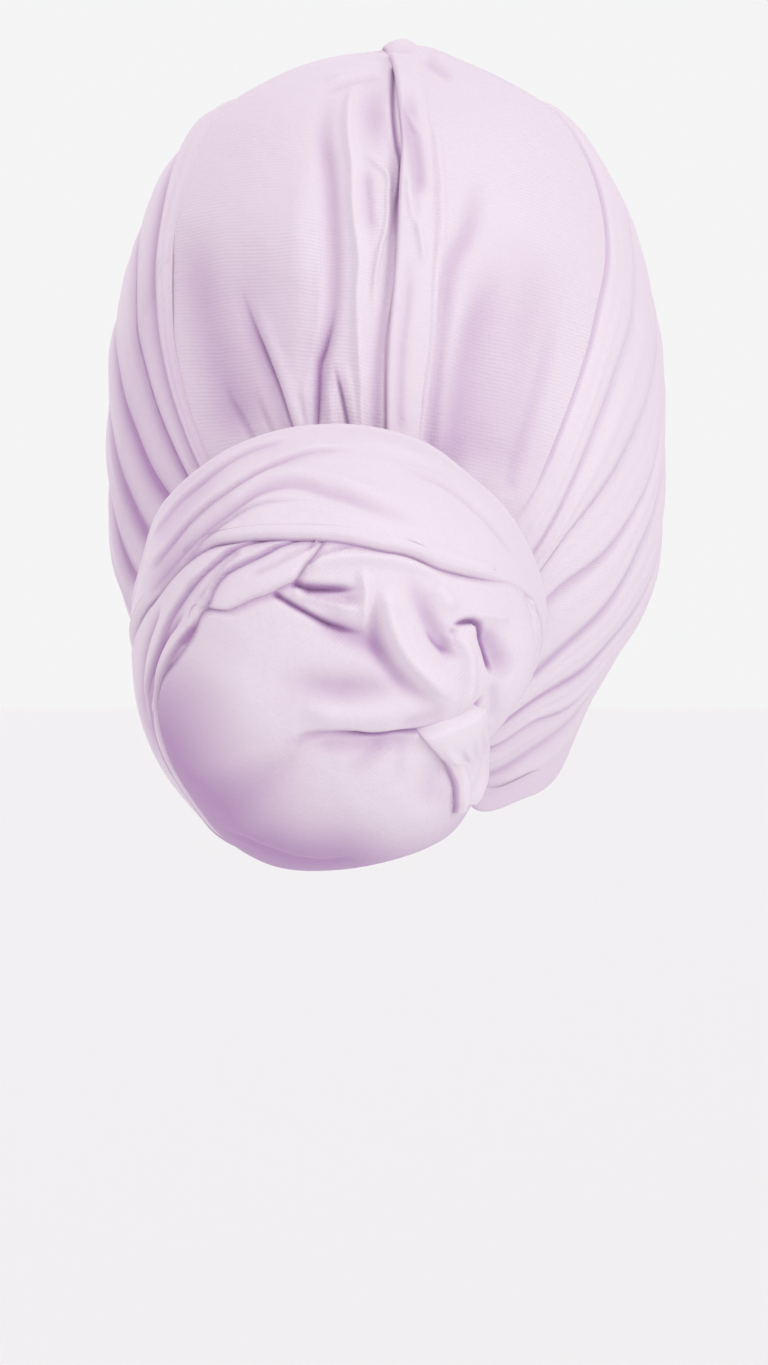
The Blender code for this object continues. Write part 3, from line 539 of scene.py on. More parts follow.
# ------------------------------------------------------------------ meshes --
def cloth(name, grid, painted_shade_and_highlight, ribs, around=False, pole=False):
    """A sheet of cloth from a grid of points in millimetres. Its third argument is
    its painted shade, painted highlight below zero, and ribs two coordinates in
    millimetres, along and across the knit."""
    m, n = grid.shape[:2]
    points = grid.reshape(-1, 3) * MM
    number = np.arange(m * n).reshape(m, n)
    if pole:
        number[:, -1] = number[0, -1]
    nxt = np.roll(number, -1, 0) if around else number[1:]
    own = number if around else number[:-1]
    a, b = own[:, :-1], nxt[:, :-1]
    c, d = nxt[:, 1:], own[:, 1:]
    quads = np.stack([a, b, c, d], -1)
    if pole:
        faces = quads[:, :-1].reshape(-1, 4).tolist()
        faces += np.stack([a[:, -1], b[:, -1], c[:, -1]], -1).tolist()
    else:
        faces = quads.reshape(-1, 4).tolist()
    mesh = bpy.data.meshes.new(name)
    mesh.from_pydata(points.tolist(), [], faces)
    mesh.update()
    flat = np.zeros((m * n, 2))
    flat[:] = ribs.reshape(-1, 2) * MM
    loop = np.zeros(len(mesh.loops), np.int32)
    mesh.loops.foreach_get("vertex_index", loop)
    uv = mesh.uv_layers.new(name="knit")
    uv.data.foreach_set("uv", flat[loop].astype(np.float32).ravel())
    # painted shade and painted highlight, stored on the points
    shade = mesh.attributes.new("painted_shade_and_highlight", "FLOAT", "POINT")
    shade.data.foreach_set("value", np.clip(painted_shade_and_highlight, -1, 1).astype(
        np.float32).ravel())
    if pole:
        drop_loose(mesh)
    mesh.polygons.foreach_set("use_smooth", np.ones(len(mesh.polygons), bool))
    thing = bpy.data.objects.new(name, mesh)
    bpy.context.scene.collection.objects.link(thing)
    return thing


def drop_loose(mesh):
    import bmesh
    work = bmesh.new()
    work.from_mesh(mesh)
    loose = [v for v in work.verts if not v.link_faces]
    bmesh.ops.delete(work, geom=loose, context="VERTS")
    work.to_mesh(mesh)
    work.free()


def check_outward(thing, centre):
    """Turn the faces so that most of them look away from a centre."""
    mesh = thing.data
    k = len(mesh.polygons)
    normal, middle = np.zeros(k * 3), np.zeros(k * 3)
    mesh.polygons.foreach_get("normal", normal)
    mesh.polygons.foreach_get("center", middle)
    out = middle.reshape(-1, 3) - np.array(centre) * MM
    if (normal.reshape(-1, 3) * out).sum() < 0:
        mesh.flip_normals()
    return thing


def turned_hem(grid, normal, rows_out, deep, thick=1.1):
    """Rows that turn a cloth's last row under itself."""
    edge = grid[:, -1]
    n = normal[:, -1]
    back = grid[:, -1] - grid[:, -3]
    back = back / np.maximum(np.linalg.norm(back, axis=-1, keepdims=True), 1e-9)
    rows = []
    for k in range(1, rows_out + 1):
        a = math.pi * k / rows_out
        rows.append(edge + back * (0.5 * thick * math.sin(a))
                    - n * (0.5 * thick * (1 - math.cos(a))))
    for share in (0.4, 1.0):
        rows.append(rows[rows_out - 1] - back * deep * share - n * 0.15 * share)
    return np.stack(rows, 1)


# --------------------------------------------------------------- materials --
def jersey(name, rib=0.85, rib_depth=1.0, tint=1.0):
    """Fine matt jersey: knit ribs, soft sheen, a little uneven dye, painted shade,
    darker and more violet, down in the folds and painted highlight on the ridges."""
    material = bpy.data.materials.new(name)
    material.use_nodes = True
    tree = material.node_tree
    tree.nodes.clear()
    add = tree.nodes.new
    link = tree.links.new

    def math_node(op, a, b=None, clamp=False):
        node = add("ShaderNodeMath")
        node.operation = op
        node.use_clamp = clamp
        for i, x in enumerate((a, b)):
            if x is None:
                continue
            if isinstance(x, (int, float)):
                node.inputs[i].default_value = x
            else:
                link(x, node.inputs[i])
        return node.outputs[0]

    def noise_node(scale, detail, source, rough=0.5):
        node = add("ShaderNodeTexNoise")
        node.inputs["Scale"].default_value = scale
        node.inputs["Detail"].default_value = detail
        node.inputs["Roughness"].default_value = rough
        link(source, node.inputs["Vector"])
        return node.outputs[0]

    out = add("ShaderNodeOutputMaterial")
    shader = add("ShaderNodeBsdfPrincipled")
    link(shader.outputs[0], out.inputs[0])
    shader.inputs["Roughness"].default_value = 0.82
    shader.inputs["Specular IOR Level"].default_value = 0.28
    shader.inputs["Sheen Weight"].default_value = 0.30
    shader.inputs["Sheen Roughness"].default_value = 0.45
    shader.inputs["Sheen Tint"].default_value = (0.96, 0.90, 0.98, 1)

    place = add("ShaderNodeTexCoord").outputs["Object"]
    knit = add("ShaderNodeUVMap")
    knit.uv_map = "knit"
    split = add("ShaderNodeSeparateXYZ")
    link(knit.outputs[0], split.inputs[0])
    # painted shade and painted highlight, read from the cloth's attribute
    painted_shade_and_highlight = add("ShaderNodeAttribute")
    painted_shade_and_highlight.attribute_name = "painted_shade_and_highlight"
    painted_shade_and_highlight = painted_shade_and_highlight.outputs["Fac"]

    # ribs wander a little, as hand-pulled jersey does
    wander = noise_node(60.0, 2.0, place)
    phase = math_node("ADD", math_node("MULTIPLY", split.outputs[1],
                                       2 * math.pi / (rib * MM)),
                      math_node("MULTIPLY", wander, 9.0))
    ribs = math_node("SINE", phase)
    along = math_node("SINE", math_node("MULTIPLY", split.outputs[0],
                                        2 * math.pi / (0.8 * rib * MM)))
    knit_height = math_node("ADD", math_node("MULTIPLY", ribs, 0.5),
                            math_node("MULTIPLY", along, 0.16))
    patch = math_node("SUBTRACT", noise_node(28.0, 2.0, place), 0.25)
    patch = math_node("MULTIPLY", patch, 2.0, True)
    knit_height = math_node("MULTIPLY", knit_height, patch)
    fuzz = noise_node(1500.0, 2.0, place)
    crinkle = noise_node(170.0, 3.0, place, 0.6)

    # colour
    light = add("ShaderNodeMix")
    light.data_type = "RGBA"
    light.inputs[6].default_value = (0.785 * tint, 0.685 * tint, 0.775 * tint, 1)
    light.inputs[7].default_value = (0.83 * tint, 0.75 * tint, 0.82 * tint, 1)
    link(noise_node(14.0, 3.0, place), light.inputs[0])
    # painted shade: deep violet mixed in where the attribute is above zero
    deep = add("ShaderNodeMix")
    deep.data_type = "RGBA"
    deep.inputs[7].default_value = (0.44, 0.24, 0.49, 1)
    link(light.outputs[2], deep.inputs[6])
    link(math_node("MULTIPLY", math_node("MAXIMUM", painted_shade_and_highlight, 0.0), 0.85, True),
         deep.inputs[0])
    # painted highlight: paler where the attribute is below zero
    painted_ridge_highlight = add("ShaderNodeMix")
    painted_ridge_highlight.data_type = "RGBA"
    painted_ridge_highlight.inputs[7].default_value = (0.89, 0.83, 0.885, 1)
    link(deep.outputs[2], painted_ridge_highlight.inputs[6])
    link(math_node("MULTIPLY", math_node("MAXIMUM", math_node(
        "MULTIPLY", painted_shade_and_highlight, -1.0), 0.0), 0.7, True), painted_ridge_highlight.inputs[0])
    fine = add("ShaderNodeMix")
    fine.data_type = "RGBA"
    fine.blend_type = "MULTIPLY"
    fine.inputs[0].default_value = 1.0
    link(painted_ridge_highlight.outputs[2], fine.inputs[6])
    grey = add("ShaderNodeCombineColor")
    tone = math_node("ADD", 0.965, math_node("MULTIPLY", knit_height, 0.045))
    tone = math_node("ADD", tone, math_node("MULTIPLY", fuzz, 0.03))
    green = math_node("MULTIPLY", tone, math_node(
        "ADD", 0.985, math_node("MULTIPLY", knit_height, 0.02)))
    link(tone, grey.inputs[0])
    link(green, grey.inputs[1])
    link(tone, grey.inputs[2])
    link(grey.outputs[0], fine.inputs[7])
    link(fine.outputs[2], shader.inputs["Base Color"])
    rough = math_node("ADD", 0.78, math_node("MULTIPLY", crinkle, 0.1))
    link(rough, shader.inputs["Roughness"])

    # relief
    relief = math_node("ADD", math_node("MULTIPLY", knit_height,
                                        0.00005 * rib_depth),
                       math_node("MULTIPLY", crinkle, 0.00045))
    relief = math_node("ADD", relief, math_node("MULTIPLY", fuzz, 0.00004))
    bump = add("ShaderNodeBump")
    bump.inputs["Strength"].default_value = 1.0
    bump.inputs["Distance"].default_value = 1.0
    link(relief, bump.inputs["Height"])
    link(bump.outputs[0], shader.inputs["Normal"])
    return material


def finish_piece(thing, material, nodes):
    thing.data.materials.append(material)
    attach(thing, "root")
    if nodes:
        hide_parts(*nodes)
    return thing


# ------------------------------------------------------------ build: crown --
def make_crown(material):
    angle = np.concatenate([
        np.linspace(-64, -11, 116, endpoint=False),
        np.linspace(-11, 11, 104, endpoint=False),
        np.linspace(11, 64, 116, endpoint=False),
        np.linspace(64, 296, 62, endpoint=False)])
    signed = np.where(angle > 180, angle - 360, angle)
    hem = smooth_curve([r[0] for r in HEM], [r[1] for r in HEM],
                       np.abs(signed)) - 3.0 - 7.0 * soft(np.abs(signed), 46, 66)
    rows = np.concatenate([np.linspace(0.004, 0.86, 186, endpoint=False),
                           np.linspace(0.86, 1.0, 34)])
    knee = np.minimum(152.0, 0.82 * hem)[:, None]
    depth = np.where(rows < 0.86, knee * (rows / 0.86) ** 1.3,
                     knee + (hem[:, None] - knee) * (rows - 0.86) / 0.14)
    grid = crown_point(angle[:, None], depth)
    normal = grid_normals(grid, True, RAY_CENTRE)
    u, v = to_picture(grid)
    weight = soft(facing(grid, normal), 0.02, 0.25) * soft(
        grid[..., 1], 2.0, 16.0) * soft(158.0 - depth, 0, 14)
    lift, shade = fold_lines(u, v, CROWN_LINES, weight)
    # the gathers draw in towards the bun
    x, y, z = grid[..., 0], grid[..., 1], grid[..., 2]
    mound = 2.5 * np.exp(-(((x + 11) / 10) ** 2 + ((y - 15) / 14) ** 2)) * (
        z > -60)
    lift = lift + mound
    lift = lift + 0.30 * noise(x / 13.0, z / 20.0, 3) * soft(depth, 4, 30)
    near_bun = soft(150 - np.hypot(x - BUN_CENTRE[0], z - BUN_CENTRE[2]), 50, 85)
    around = np.degrees(np.arctan2(z - BUN_CENTRE[2], x - BUN_CENTRE[0]))
    lift = lift + 0.35 * near_bun * (y > 0) * np.sin(
        np.radians(around) * 26 + 1.3 * noise(x / 9.0, z / 9.0, 5))
    # painted shade on the crown round the bun
    shade = shade + 0.10 * near_bun * (y > 0)
    lift = np.clip(lift, -4.2, 3.6)
    inner = grid + normal * lift[..., None]
    hem_rows = turned_hem(inner, normal, 4, 9.0)
    whole = np.concatenate([inner, hem_rows], 1)
    m, n = whole.shape[:2]
    extra = n - grid.shape[1]
    shade = np.concatenate([shade, np.repeat(shade[:, -1:], extra, 1)], 1)
    step = np.linalg.norm(np.diff(whole, axis=1), axis=-1)
    down = np.concatenate([np.zeros((m, 1)), np.cumsum(step, 1)], 1)
    signed_arc = np.radians(signed)[:, None] * 85.0
    slope = 0.16 * whole[..., 0] * np.tanh(whole[..., 1] / 30.0)
    ribs = np.stack([signed_arc + 0 * down, down + slope], -1)
    thing = cloth("crown_cloth", whole, shade, ribs, around=True)
    close_top(thing, m, n)
    open_mouth(thing)
    check_outward(thing, RAY_CENTRE)
    return finish_piece(thing, material, ["crown"])


def close_top(thing, m, n):
    """Fan over the small ring of points at the crown's top."""
    import bmesh
    work = bmesh.new()
    work.from_mesh(thing.data)
    work.verts.ensure_lookup_table()
    ring = [work.verts[i * n] for i in range(m)]
    middle = work.verts.new(sum((v.co for v in ring[1:]), ring[0].co.copy())
                            / m)
    for i in range(m):
        work.faces.new((ring[(i + 1) % m], ring[i], middle))
    work.to_mesh(thing.data)
    work.free()
    thing.data.polygons.foreach_set("use_smooth",
                                    np.ones(len(thing.data.polygons), bool))


def open_mouth(thing):
    """Round hole at the back of the crown, its edge pulled out to the bun."""
    import bmesh
    work = bmesh.new()
    work.from_mesh(thing.data)
    cx, cz = BUN_CENTRE[0] * MM, (BUN_CENTRE[2] - 2) * MM
    radius = MOUTH_RADIUS * MM

    def away(v):
        return math.hypot(v.co.x - cx, v.co.z - cz)

    gone = [f for f in work.faces if f.verts[0].co.y > 0.03
            and all(away(v) < radius for v in f.verts)]
    bmesh.ops.delete(work, geom=gone, context="FACES")
    rim = [e for e in work.edges if len(e.link_faces) == 1
           and e.verts[0].co.y > 0.03
           and all(away(v) < radius * 1.15 for v in e.verts)]
    for v in {v for e in rim for v in e.verts}:
        d = away(v)
        v.co.x = cx + (v.co.x - cx) * radius / d
        v.co.z = cz + (v.co.z - cz) * radius / d
    for step in (1.2, 1.6):
        made = bmesh.ops.extrude_edge_only(work, edges=rim)["geom"]
        verts = [g for g in made if isinstance(g, bmesh.types.BMVert)]
        rim = [g for g in made if isinstance(g, bmesh.types.BMEdge)
               and all(v in verts for v in g.verts)]
        for v in verts:
            v.co.y += step * MM
            v.co.x = cx + (v.co.x - cx) * 1.03
            v.co.z = cz + (v.co.z - cz) * 1.03
    work.to_mesh(thing.data)
    work.free()
    thing.data.polygons.foreach_set("use_smooth",
                                    np.ones(len(thing.data.polygons), bool))


# Centre pleat: depth, left edge, right edge across, height at its left edge.
STRIP = ((0.4, 2.0, -10.0, 1.5), (0.9, 1.6, -11.5, 1.7), (3, 0.2, -13.0, 1.9),
         (8, -1.4, -13.8, 2.1), (14, -2.4, -14.6, 2.1), (24, -3.3, -15.4, 2.0),
         (36, -4.3, -16.4, 1.9), (50, -3.6, -17.2, 1.9),
         (66, -2.9, -17.4, 1.6), (82, -1.8, -17.0, 1.3),
         (98, -0.3, -16.2, 1.2), (112, 0.2, -14.2, 1.2), (131, 0.2, -12.6, 1.2))


def make_strip(material):
    rows = np.array(STRIP, float)
    k = np.linspace(0, len(rows) - 1, 330)
    index = np.arange(len(rows))
    depth = smooth_curve(index, rows[:, 0], k)
    left = smooth_curve(index, rows[:, 1], k)
    right = smooth_curve(index, rows[:, 2], k)
    high = smooth_curve(index, rows[:, 3], k)
    share = np.linspace(0, 1, 64)
    x = left[:, None] + (right - left)[:, None] * share
    z = np.broadcast_to(TOP - depth[:, None], x.shape)
    grid = np.stack([x, crown_back(x, z), z], -1)
    normal = grid_normals(grid, False, RAY_CENTRE)
    u, v = to_picture(grid)
    weight = soft(depth[:, None], 3, 12) + 0 * x
    lift, shade = fold_lines(u, v, STRIP_LINES, weight)
    size = np.concatenate([[0], np.cumsum(np.linalg.norm(
        np.diff(grid[:, 32], axis=0), axis=1))])[:, None]
    # the left edge stands up and rolls under, the right side sinks away
    rise = high[:, None] * (1 - soft(share, 0.45, 1.0)) + 0.2
    lap = 0.10 + 0.36 * (1 - soft(size, 9.0, 22.0))
    roll = np.sqrt(np.clip(1 - (1 - np.clip(share / lap, 0, 1)) ** 2, 0, 1))
    body = rise * (0.25 + 0.75 * roll) - 3.4 * soft(share, 0.70, 1.0)
    knot = 2.6 * np.exp(-((size - 9.0) / 7.5) ** 2) * np.sin(
        np.pi * np.clip(share * 0.9 + 0.08, 0, 1)) ** 0.8
    dip = -1.2 * np.exp(-((size - 19.0) / 4.0) ** 2)
    lift = lift * (0.35 + 0.65 * np.sin(np.pi * np.clip(share, 0.02, 0.98)) ** 0.5
                   ) * (1 - 0.75 * soft(share, 0.72, 0.95))
    lift = lift + body + knot + dip
    lift = lift + 0.25 * noise(x / 4.0, size / 14.0, 11)
    # painted shade along the left edge under its lap and in the dip below the knot
    shade = shade + 0.4 * np.exp(-(share / 0.04) ** 2) + 0.15 * np.exp(
        -((size - 19.0) / 4.0) ** 2)
    # tuck the upper end down into the crown
    lift = lift - 4.5 * (1 - soft(size, 0, 5.0))
    grid = grid + normal * lift[..., None]
    # the left edge turned under
    under = []
    for k2, (inward, down) in enumerate(((0.35, 0.5), (0.9, 1.1), (2.2, 2.0))):
        row = grid[:, 0] - normal[:, 0] * down + np.array(
            [-inward, 0, 0])
        under.insert(0, row)
    grid = np.concatenate([np.stack(under, 1), grid], 1)
    # painted shade on the turned-under left edge
    shade = np.concatenate([np.full((len(grid), 3), 0.6), shade], 1)
    n = grid.shape[1]
    step = np.linalg.norm(np.diff(grid, axis=1), axis=-1)
    across = np.concatenate([np.zeros((len(grid), 1)), np.cumsum(step, 1)], 1)
    ribs = np.stack([across, size + 0 * across], -1)
    thing = cloth("centre_pleat_cloth", grid, shade, ribs)
    check_outward(thing, RAY_CENTRE)
    return finish_piece(thing, material, ["centre_pleat"])


# ------------------------------------------------------- build: front wrap --
def wrap_base(along, across):
    right = np.array(WRAP_RIGHT, float)
    left = np.array(WRAP_LEFT, float)
    left[:, (0, 2)] *= -1
    left[0, (0, 2)] = -180
    stations = np.linspace(0, 1, len(right))

    def edge(table, column):
        a = crown_point(table[:, column], table[:, column + 1])
        v = a - RAY_CENTRE
        return v / np.linalg.norm(v, axis=-1, keepdims=True)

    rows = []
    for s in along:
        table = right if s >= 0 else left
        ends = []
        for column in (2, 0):
            e = edge(table, column)
            # rounded where it turns over the middle of the front
            at = abs(s) + (math.hypot(s, 0.06) - abs(s)) * float(
                1 - soft(np.array(abs(s)), 0.10, 0.32))
            ends.append(np.array([smooth_curve(stations, e[:, k], at)
                                  for k in range(3)])
                        * (abs(s) / at if at else 0, 1, 1))
        low, high = (v / np.linalg.norm(v) for v in ends)
        turn = math.acos(float(np.clip(low @ high, -1, 1)))
        w = across[:, None]
        rows.append((np.sin((1 - w) * turn) * low + np.sin(w * turn) * high)
                    / math.sin(turn))
    grid = onto_crown(RAY_CENTRE + np.array(rows) * 100.0)
    dx = grid[..., 0] - BUN_CENTRE[0]
    dz = grid[..., 2] - BUN_CENTRE[2]
    away = np.sqrt(dx * dx + dz * dz)
    clear = BUN_NECK + 5.0 * np.logaddexp(0.0, (away - BUN_NECK) / 5.0)
    behind = (grid[..., 1] > 0) & (away < BUN_NECK + 25.0)
    clear = away + (clear - away) * soft(grid[..., 1], 0.0, 24.0)
    dx, dz = dx * clear / away, dz * clear / away
    moved = np.stack([BUN_CENTRE[0] + dx, 0 * dx, BUN_CENTRE[2] + dz], -1)
    moved[..., 1] = grid[..., 1] + soft(grid[..., 1], 0.0, 24.0) * (
        crown_back(moved[..., 0], moved[..., 2])
        - crown_back(grid[..., 0], grid[..., 2]))
    grid = np.where(behind[..., None], moved, grid)
    away = np.where(behind, clear, away)
    tent = (69.0 + 0.344 * (grid[..., 2] - BUN_CENTRE[2]) - 2.0 * (away - 50.0))
    y = grid[..., 1]
    lifted = 4.0 * np.logaddexp(y / 4.0, tent / 4.0)
    fade = soft(y, 8.0, 48.0)
    grid[..., 1] = y + fade * (np.maximum(lifted, y) - y)
    return grid


def make_wrap(material):
    across = np.linspace(0, 1, 326)
    along = np.concatenate([np.linspace(-1, -0.38, 108, endpoint=False),
                            np.linspace(-0.38, 0.38, 66, endpoint=False),
                            np.linspace(0.38, 1, 108)])
    coarse_i, coarse_j = np.linspace(-1, 1, 161), np.linspace(0, 1, 81)
    base = wrap_base(coarse_i, coarse_j)
    grid = resample(base, (along + 1) * 80.0, across * 80.0)
    normal = grid_normals(grid, False, RAY_CENTRE)
    s, w = along[:, None], across[None, :]
    # pleats between the valleys
    valleys = [np.zeros_like(s)]
    for row in VALLEYS:
        line = smooth_curve(VALLEY_ALONG, row, s)
        line = line + 0.006 * noise(s * 14.0, 0 * s + len(valleys), 40 + len(
            valleys))
        valleys.append(line)
    valleys.append(np.ones_like(s))
    strong = smooth_curve((-1, -0.8, -0.5, -0.3, 0, 0.3, 0.5, 0.7, 0.9, 1),
                          (2.0, 3.0, 2.5, 1.5, 1.1, 1.1, 1.3, 2.0, 2.4, 2.0), s)
    lift = np.zeros((len(along), len(across)))
    shade = np.zeros_like(lift)
    for k in range(len(valleys) - 1):
        low, high = valleys[k], valleys[k + 1]
        t = (w - low) / (high - low)
        m = (t >= 0) & (t <= 1)
        own = 0.75 + 0.45 * noise(s * 5.0, 0 * s + 3.1 * k, 60 + k, 2)
        lean = np.clip(t, 0, 1) ** (0.8 + 0.25 * math.sin(2.2 * k))
        hump = np.abs(np.sin(np.pi * np.clip(lean, 0, 1))) ** (
            0.75 + 0.35 * soft(-s, 0.2, 0.5))
        # finer gathers inside the pleat
        fine = 0.16 * np.sin(2 * np.pi * (2.0 + (k % 2)) * t + 2.0 * noise(
            s * 6.0, 0 * s, 80 + k, 2)) * np.sin(np.pi * np.clip(t, 0, 1)) ** 2
        if k < 2:
            own = own * (1 - 0.55 * soft(s, 0.3, 0.6))
        if k >= len(valleys) - 3:
            own = own * (1 - 0.60 * soft(-s, 0.4, 0.65) * soft(
                t + (k - len(valleys) + 3.0), 0.35, 0.85))
        here = strong * own * (hump + fine - 0.35)
        lift = np.where(m, here, lift)
        edge = np.minimum(np.clip(t, 0, 1), 1 - np.clip(t, 0, 1))
        # painted shade in each valley, stronger on the left and at the lower right, and painted highlight on each
        # pleat's crest
        wide = 0.085 + 0.125 * soft(-s, 0.2, 0.5) + 0.05 * soft(s, 0.4, 0.7)
        deep = 0.27 + 0.28 * soft(-s, 0.2, 0.5) + 0.38 * soft(
            s, 0.45, 0.75) * soft(0.75 - w, 0, 0.3)
        dark = deep * own * np.exp(-(edge / wide) ** 2) - 0.08 * hump
        if k == len(valleys) - 2:
            dark = dark * (t < 0.5)
        if k == 0:
            dark = dark * (t > 0.5)
        shade = np.where(m, dark * strong / 1.5, shade)
    ends = soft(np.abs(s), 0.86, 1.0)
    lift = lift * (1 - 0.35 * ends)
    # painted shade: darker over the whole left side and over the lower right near the bun
    shade = shade + 0.34 * soft(-s, 0.35, 0.6) + 0.22 * soft(
        s, 0.86, 0.97) * soft(0.75 - w, 0, 0.3) + 0.24 * soft(
        s, 0.50, 0.85) * soft(0.36 - w, 0, 0.25)
    # upper edge, soft on the right and crisp on the left
    size = np.concatenate([np.zeros((len(along), 1)), np.cumsum(np.linalg.norm(
        np.diff(grid, axis=1), axis=-1), 1)], 1)
    from_top = size[:, -1:] - size
    rim = soft(from_top, 0.0, 2.2)
    crisp = np.where(s < 0, soft(-s, 0.50, 0.74), 0.45 * soft(s, 0.35, 0.6))
    rim = rim * crisp + soft(from_top, 0.0, 8.0) * (1 - crisp)
    stand = 0.7 + 0.9 * crisp + 0 * w
    near_edge = 1 - soft(from_top, 5.0, 11.0)
    lift = lift * (1 - 0.8 * near_edge * (1 - crisp))
    shade = shade * (1 - 0.9 * near_edge * (1 - crisp))
    # the right-hand edge lies flat, with a thin line of painted shade along it
    shade = shade + 0.45 * soft(s, 0.30, 0.50) * soft(0.93 - s, 0, 0.15) * (
        1 - soft(from_top, 0.4, 3.0))
    total = stand * (0.35 + 0.65 * rim) + (
        lift + 0.9 * (1 - crisp)) * soft(from_top, 0.0, 5.0)
    total = total + 0.22 * noise(grid[..., 0] / 16, grid[..., 2] / 16, 21)
    body = grid + normal * total[..., None]
    # turn both edges under
    top_rows = turned_hem(body, normal, 3, 5.0, 0.9)
    low_rows = turned_hem(body[:, ::-1], normal[:, ::-1], 4, 9.0, 1.6)[:, ::-1]
    whole = np.concatenate([low_rows, body, top_rows], 1)
    a, b = low_rows.shape[1], top_rows.shape[1]
    shade = np.concatenate([np.repeat(shade[:, :1], a, 1), shade,
                            np.repeat(shade[:, -1:], b, 1)], 1)
    step = np.linalg.norm(np.diff(whole, axis=1), axis=-1)
    up = np.concatenate([np.zeros((len(along), 1)), np.cumsum(step, 1)], 1)
    middle = grid[:, 160]
    run = np.concatenate([[0], np.cumsum(np.linalg.norm(
        np.diff(middle, axis=0), axis=1))])[:, None]
    ribs = np.stack([run + 0 * up, up], -1)
    thing = cloth("front_wrap_cloth", whole, shade, ribs)
    check_outward(thing, RAY_CENTRE)
    return finish_piece(thing, material, ["front_wrap"])


# -------------------------------------------------------------- build: bun --
def band_edge(degrees):
    """How far over the bun the outer band reaches, none outside its ends."""
    d = np.where(degrees > 290, degrees - 360.0, degrees)
    edge = smooth_curve([r[0] for r in BAND_EDGE], [r[1] for r in BAND_EDGE], d)
    return np.where((d > -60) & (d < 252), edge, -1.0)


def generic_pleats(degrees, way, seed, count, height):
    """Folds that run round the winding, for the sides that no line shows."""
    wander = 0.35 * noise(np.radians(degrees) * 2.0, way * 3.0, seed, 2)
    return height * (np.abs(np.sin(np.pi * (count * way + wander))) ** 0.7 - 0.5)


def make_pouch(material):
    degrees = np.linspace(0, 360, 470, endpoint=False)[:, None]
    ring = round_curve(RING_EDGE, degrees)
    edge = np.maximum(ring, band_edge(degrees))
    edge = resample_round(edge[:, 0], 3)[:, None]
    under = np.linspace(0.10, 1.0, 16, endpoint=False)
    over = np.linspace(0, 1, 184)
    way = np.concatenate([edge * under + 0.0, edge + (0.9995 - edge) * over
                          ** 1.05], axis=1)
    turn = np.broadcast_to(degrees, way.shape)
    base = hull_point(turn, way)
    normal = hull_normal(turn, way)
    u, v = to_picture(base)
    weight = soft(facing(base, normal), 0.02, 0.3)
    lift, shade = fold_lines(u, v, POUCH_LINES, weight)
    # it comes out from under the winding
    out = soft(way, edge - 0.035, edge + 0.05)
    # round its right side it runs on into the winding without a tuck
    joined = soft(turn, 136, 152) * soft(254 - turn, 0, 12)
    sunk = (-3.6 + 2.4 * joined) * (1 - out)
    lift = lift * soft(way, edge - 0.02, edge + 0.03) + sunk
    # painted shade where it comes out from under the winding, less round its right side
    shade = shade + (0.55 - 0.5 * joined) * (1 - soft(way, edge, edge + 0.045))
    # painted shade, darker and more violet towards the lower left of the pouch, where the left and lower sides go in
    painted_lower_left_shade = soft(np.cos(np.radians(turn - 298)), 0.05, 0.85)
    low = soft(np.cos(np.radians(turn - 290)), 0.72, 0.96)
    reach = edge + 0.62 + 0.26 * low
    shade = shade + (1.10 + 0.2 * low) * painted_lower_left_shade * (
        1 - soft(way, edge + 0.02, reach)) ** 1.25
    full = 0.5 * noise(base[..., 0] / 19, base[..., 2] / 19, 31)
    lift = lift + full * out
    lift = np.clip(lift, -8.0, 5.0)
    face = base + normal * lift[..., None]
    # neck to the crown
    neck = BAND_INNER - 0.3
    gathers = 0.7 * np.sin(np.radians(degrees) * 23 + 2.0 * noise(
        np.radians(degrees) * 4.0, 0 * degrees, 91, 2))
    radius = np.array([POUCH_MOUTH - 1.0, POUCH_MOUTH + 3.0, neck, neck]) + (
        gathers * np.array([0, 1, 0.5, 0]) - np.array([0, 0, 0.4, 0]))
    height = np.array([-18.0, -14.0, -7.0, 1.0]) + 0 * degrees
    for _ in range(30):
        p = bun_point(degrees[:, 0], radius[:, 0], height[:, 0])
        miss = p[:, 1] - crown_back(p[:, 0], p[:, 2]) - 2.4
        height[:, 0] -= miss / math.cos(BUN_TILT)
    height[:, 1] = np.maximum(height[:, 1], height[:, 0] + 2.0)
    height[:, 2] = height[:, 0] + 4.5
    height[:, 3] = np.maximum(height[:, 3], height[:, 2] + 2.5)
    tube = bun_point(np.broadcast_to(degrees, radius.shape), radius, height)
    whole = np.concatenate([tube, face], axis=1)
    # painted shade on the neck tube, lighter on the crests of its gathers
    shade = np.concatenate([0.25 - 0.2 * gathers + 0 * radius, shade], 1)
    # ribs run slantwise over the pouch
    x, z = whole[..., 0], whole[..., 2]
    y = whole[..., 1]
    lean = 0.55 * (x - 14) + 0.84 * (z + 200) + 0.25 * y
    ribs = np.stack([0.84 * x - 0.55 * z, lean + 0.004 * (x - 20) * (z + 230)],
                    -1)
    thing = cloth("bun_pouch_cloth", whole, shade, ribs,
                  around=True, pole=True)
    check_outward(thing, BUN_CENTRE + 20 * BUN_AXIS)
    return finish_piece(thing, material, ["bun_pouch"])


def resample_round(values, passes):
    """Smooth a closed run of values a little."""
    for _ in range(passes):
        values = 0.25 * np.roll(values, 1) + 0.5 * values + 0.25 * np.roll(
            values, -1)
    return values


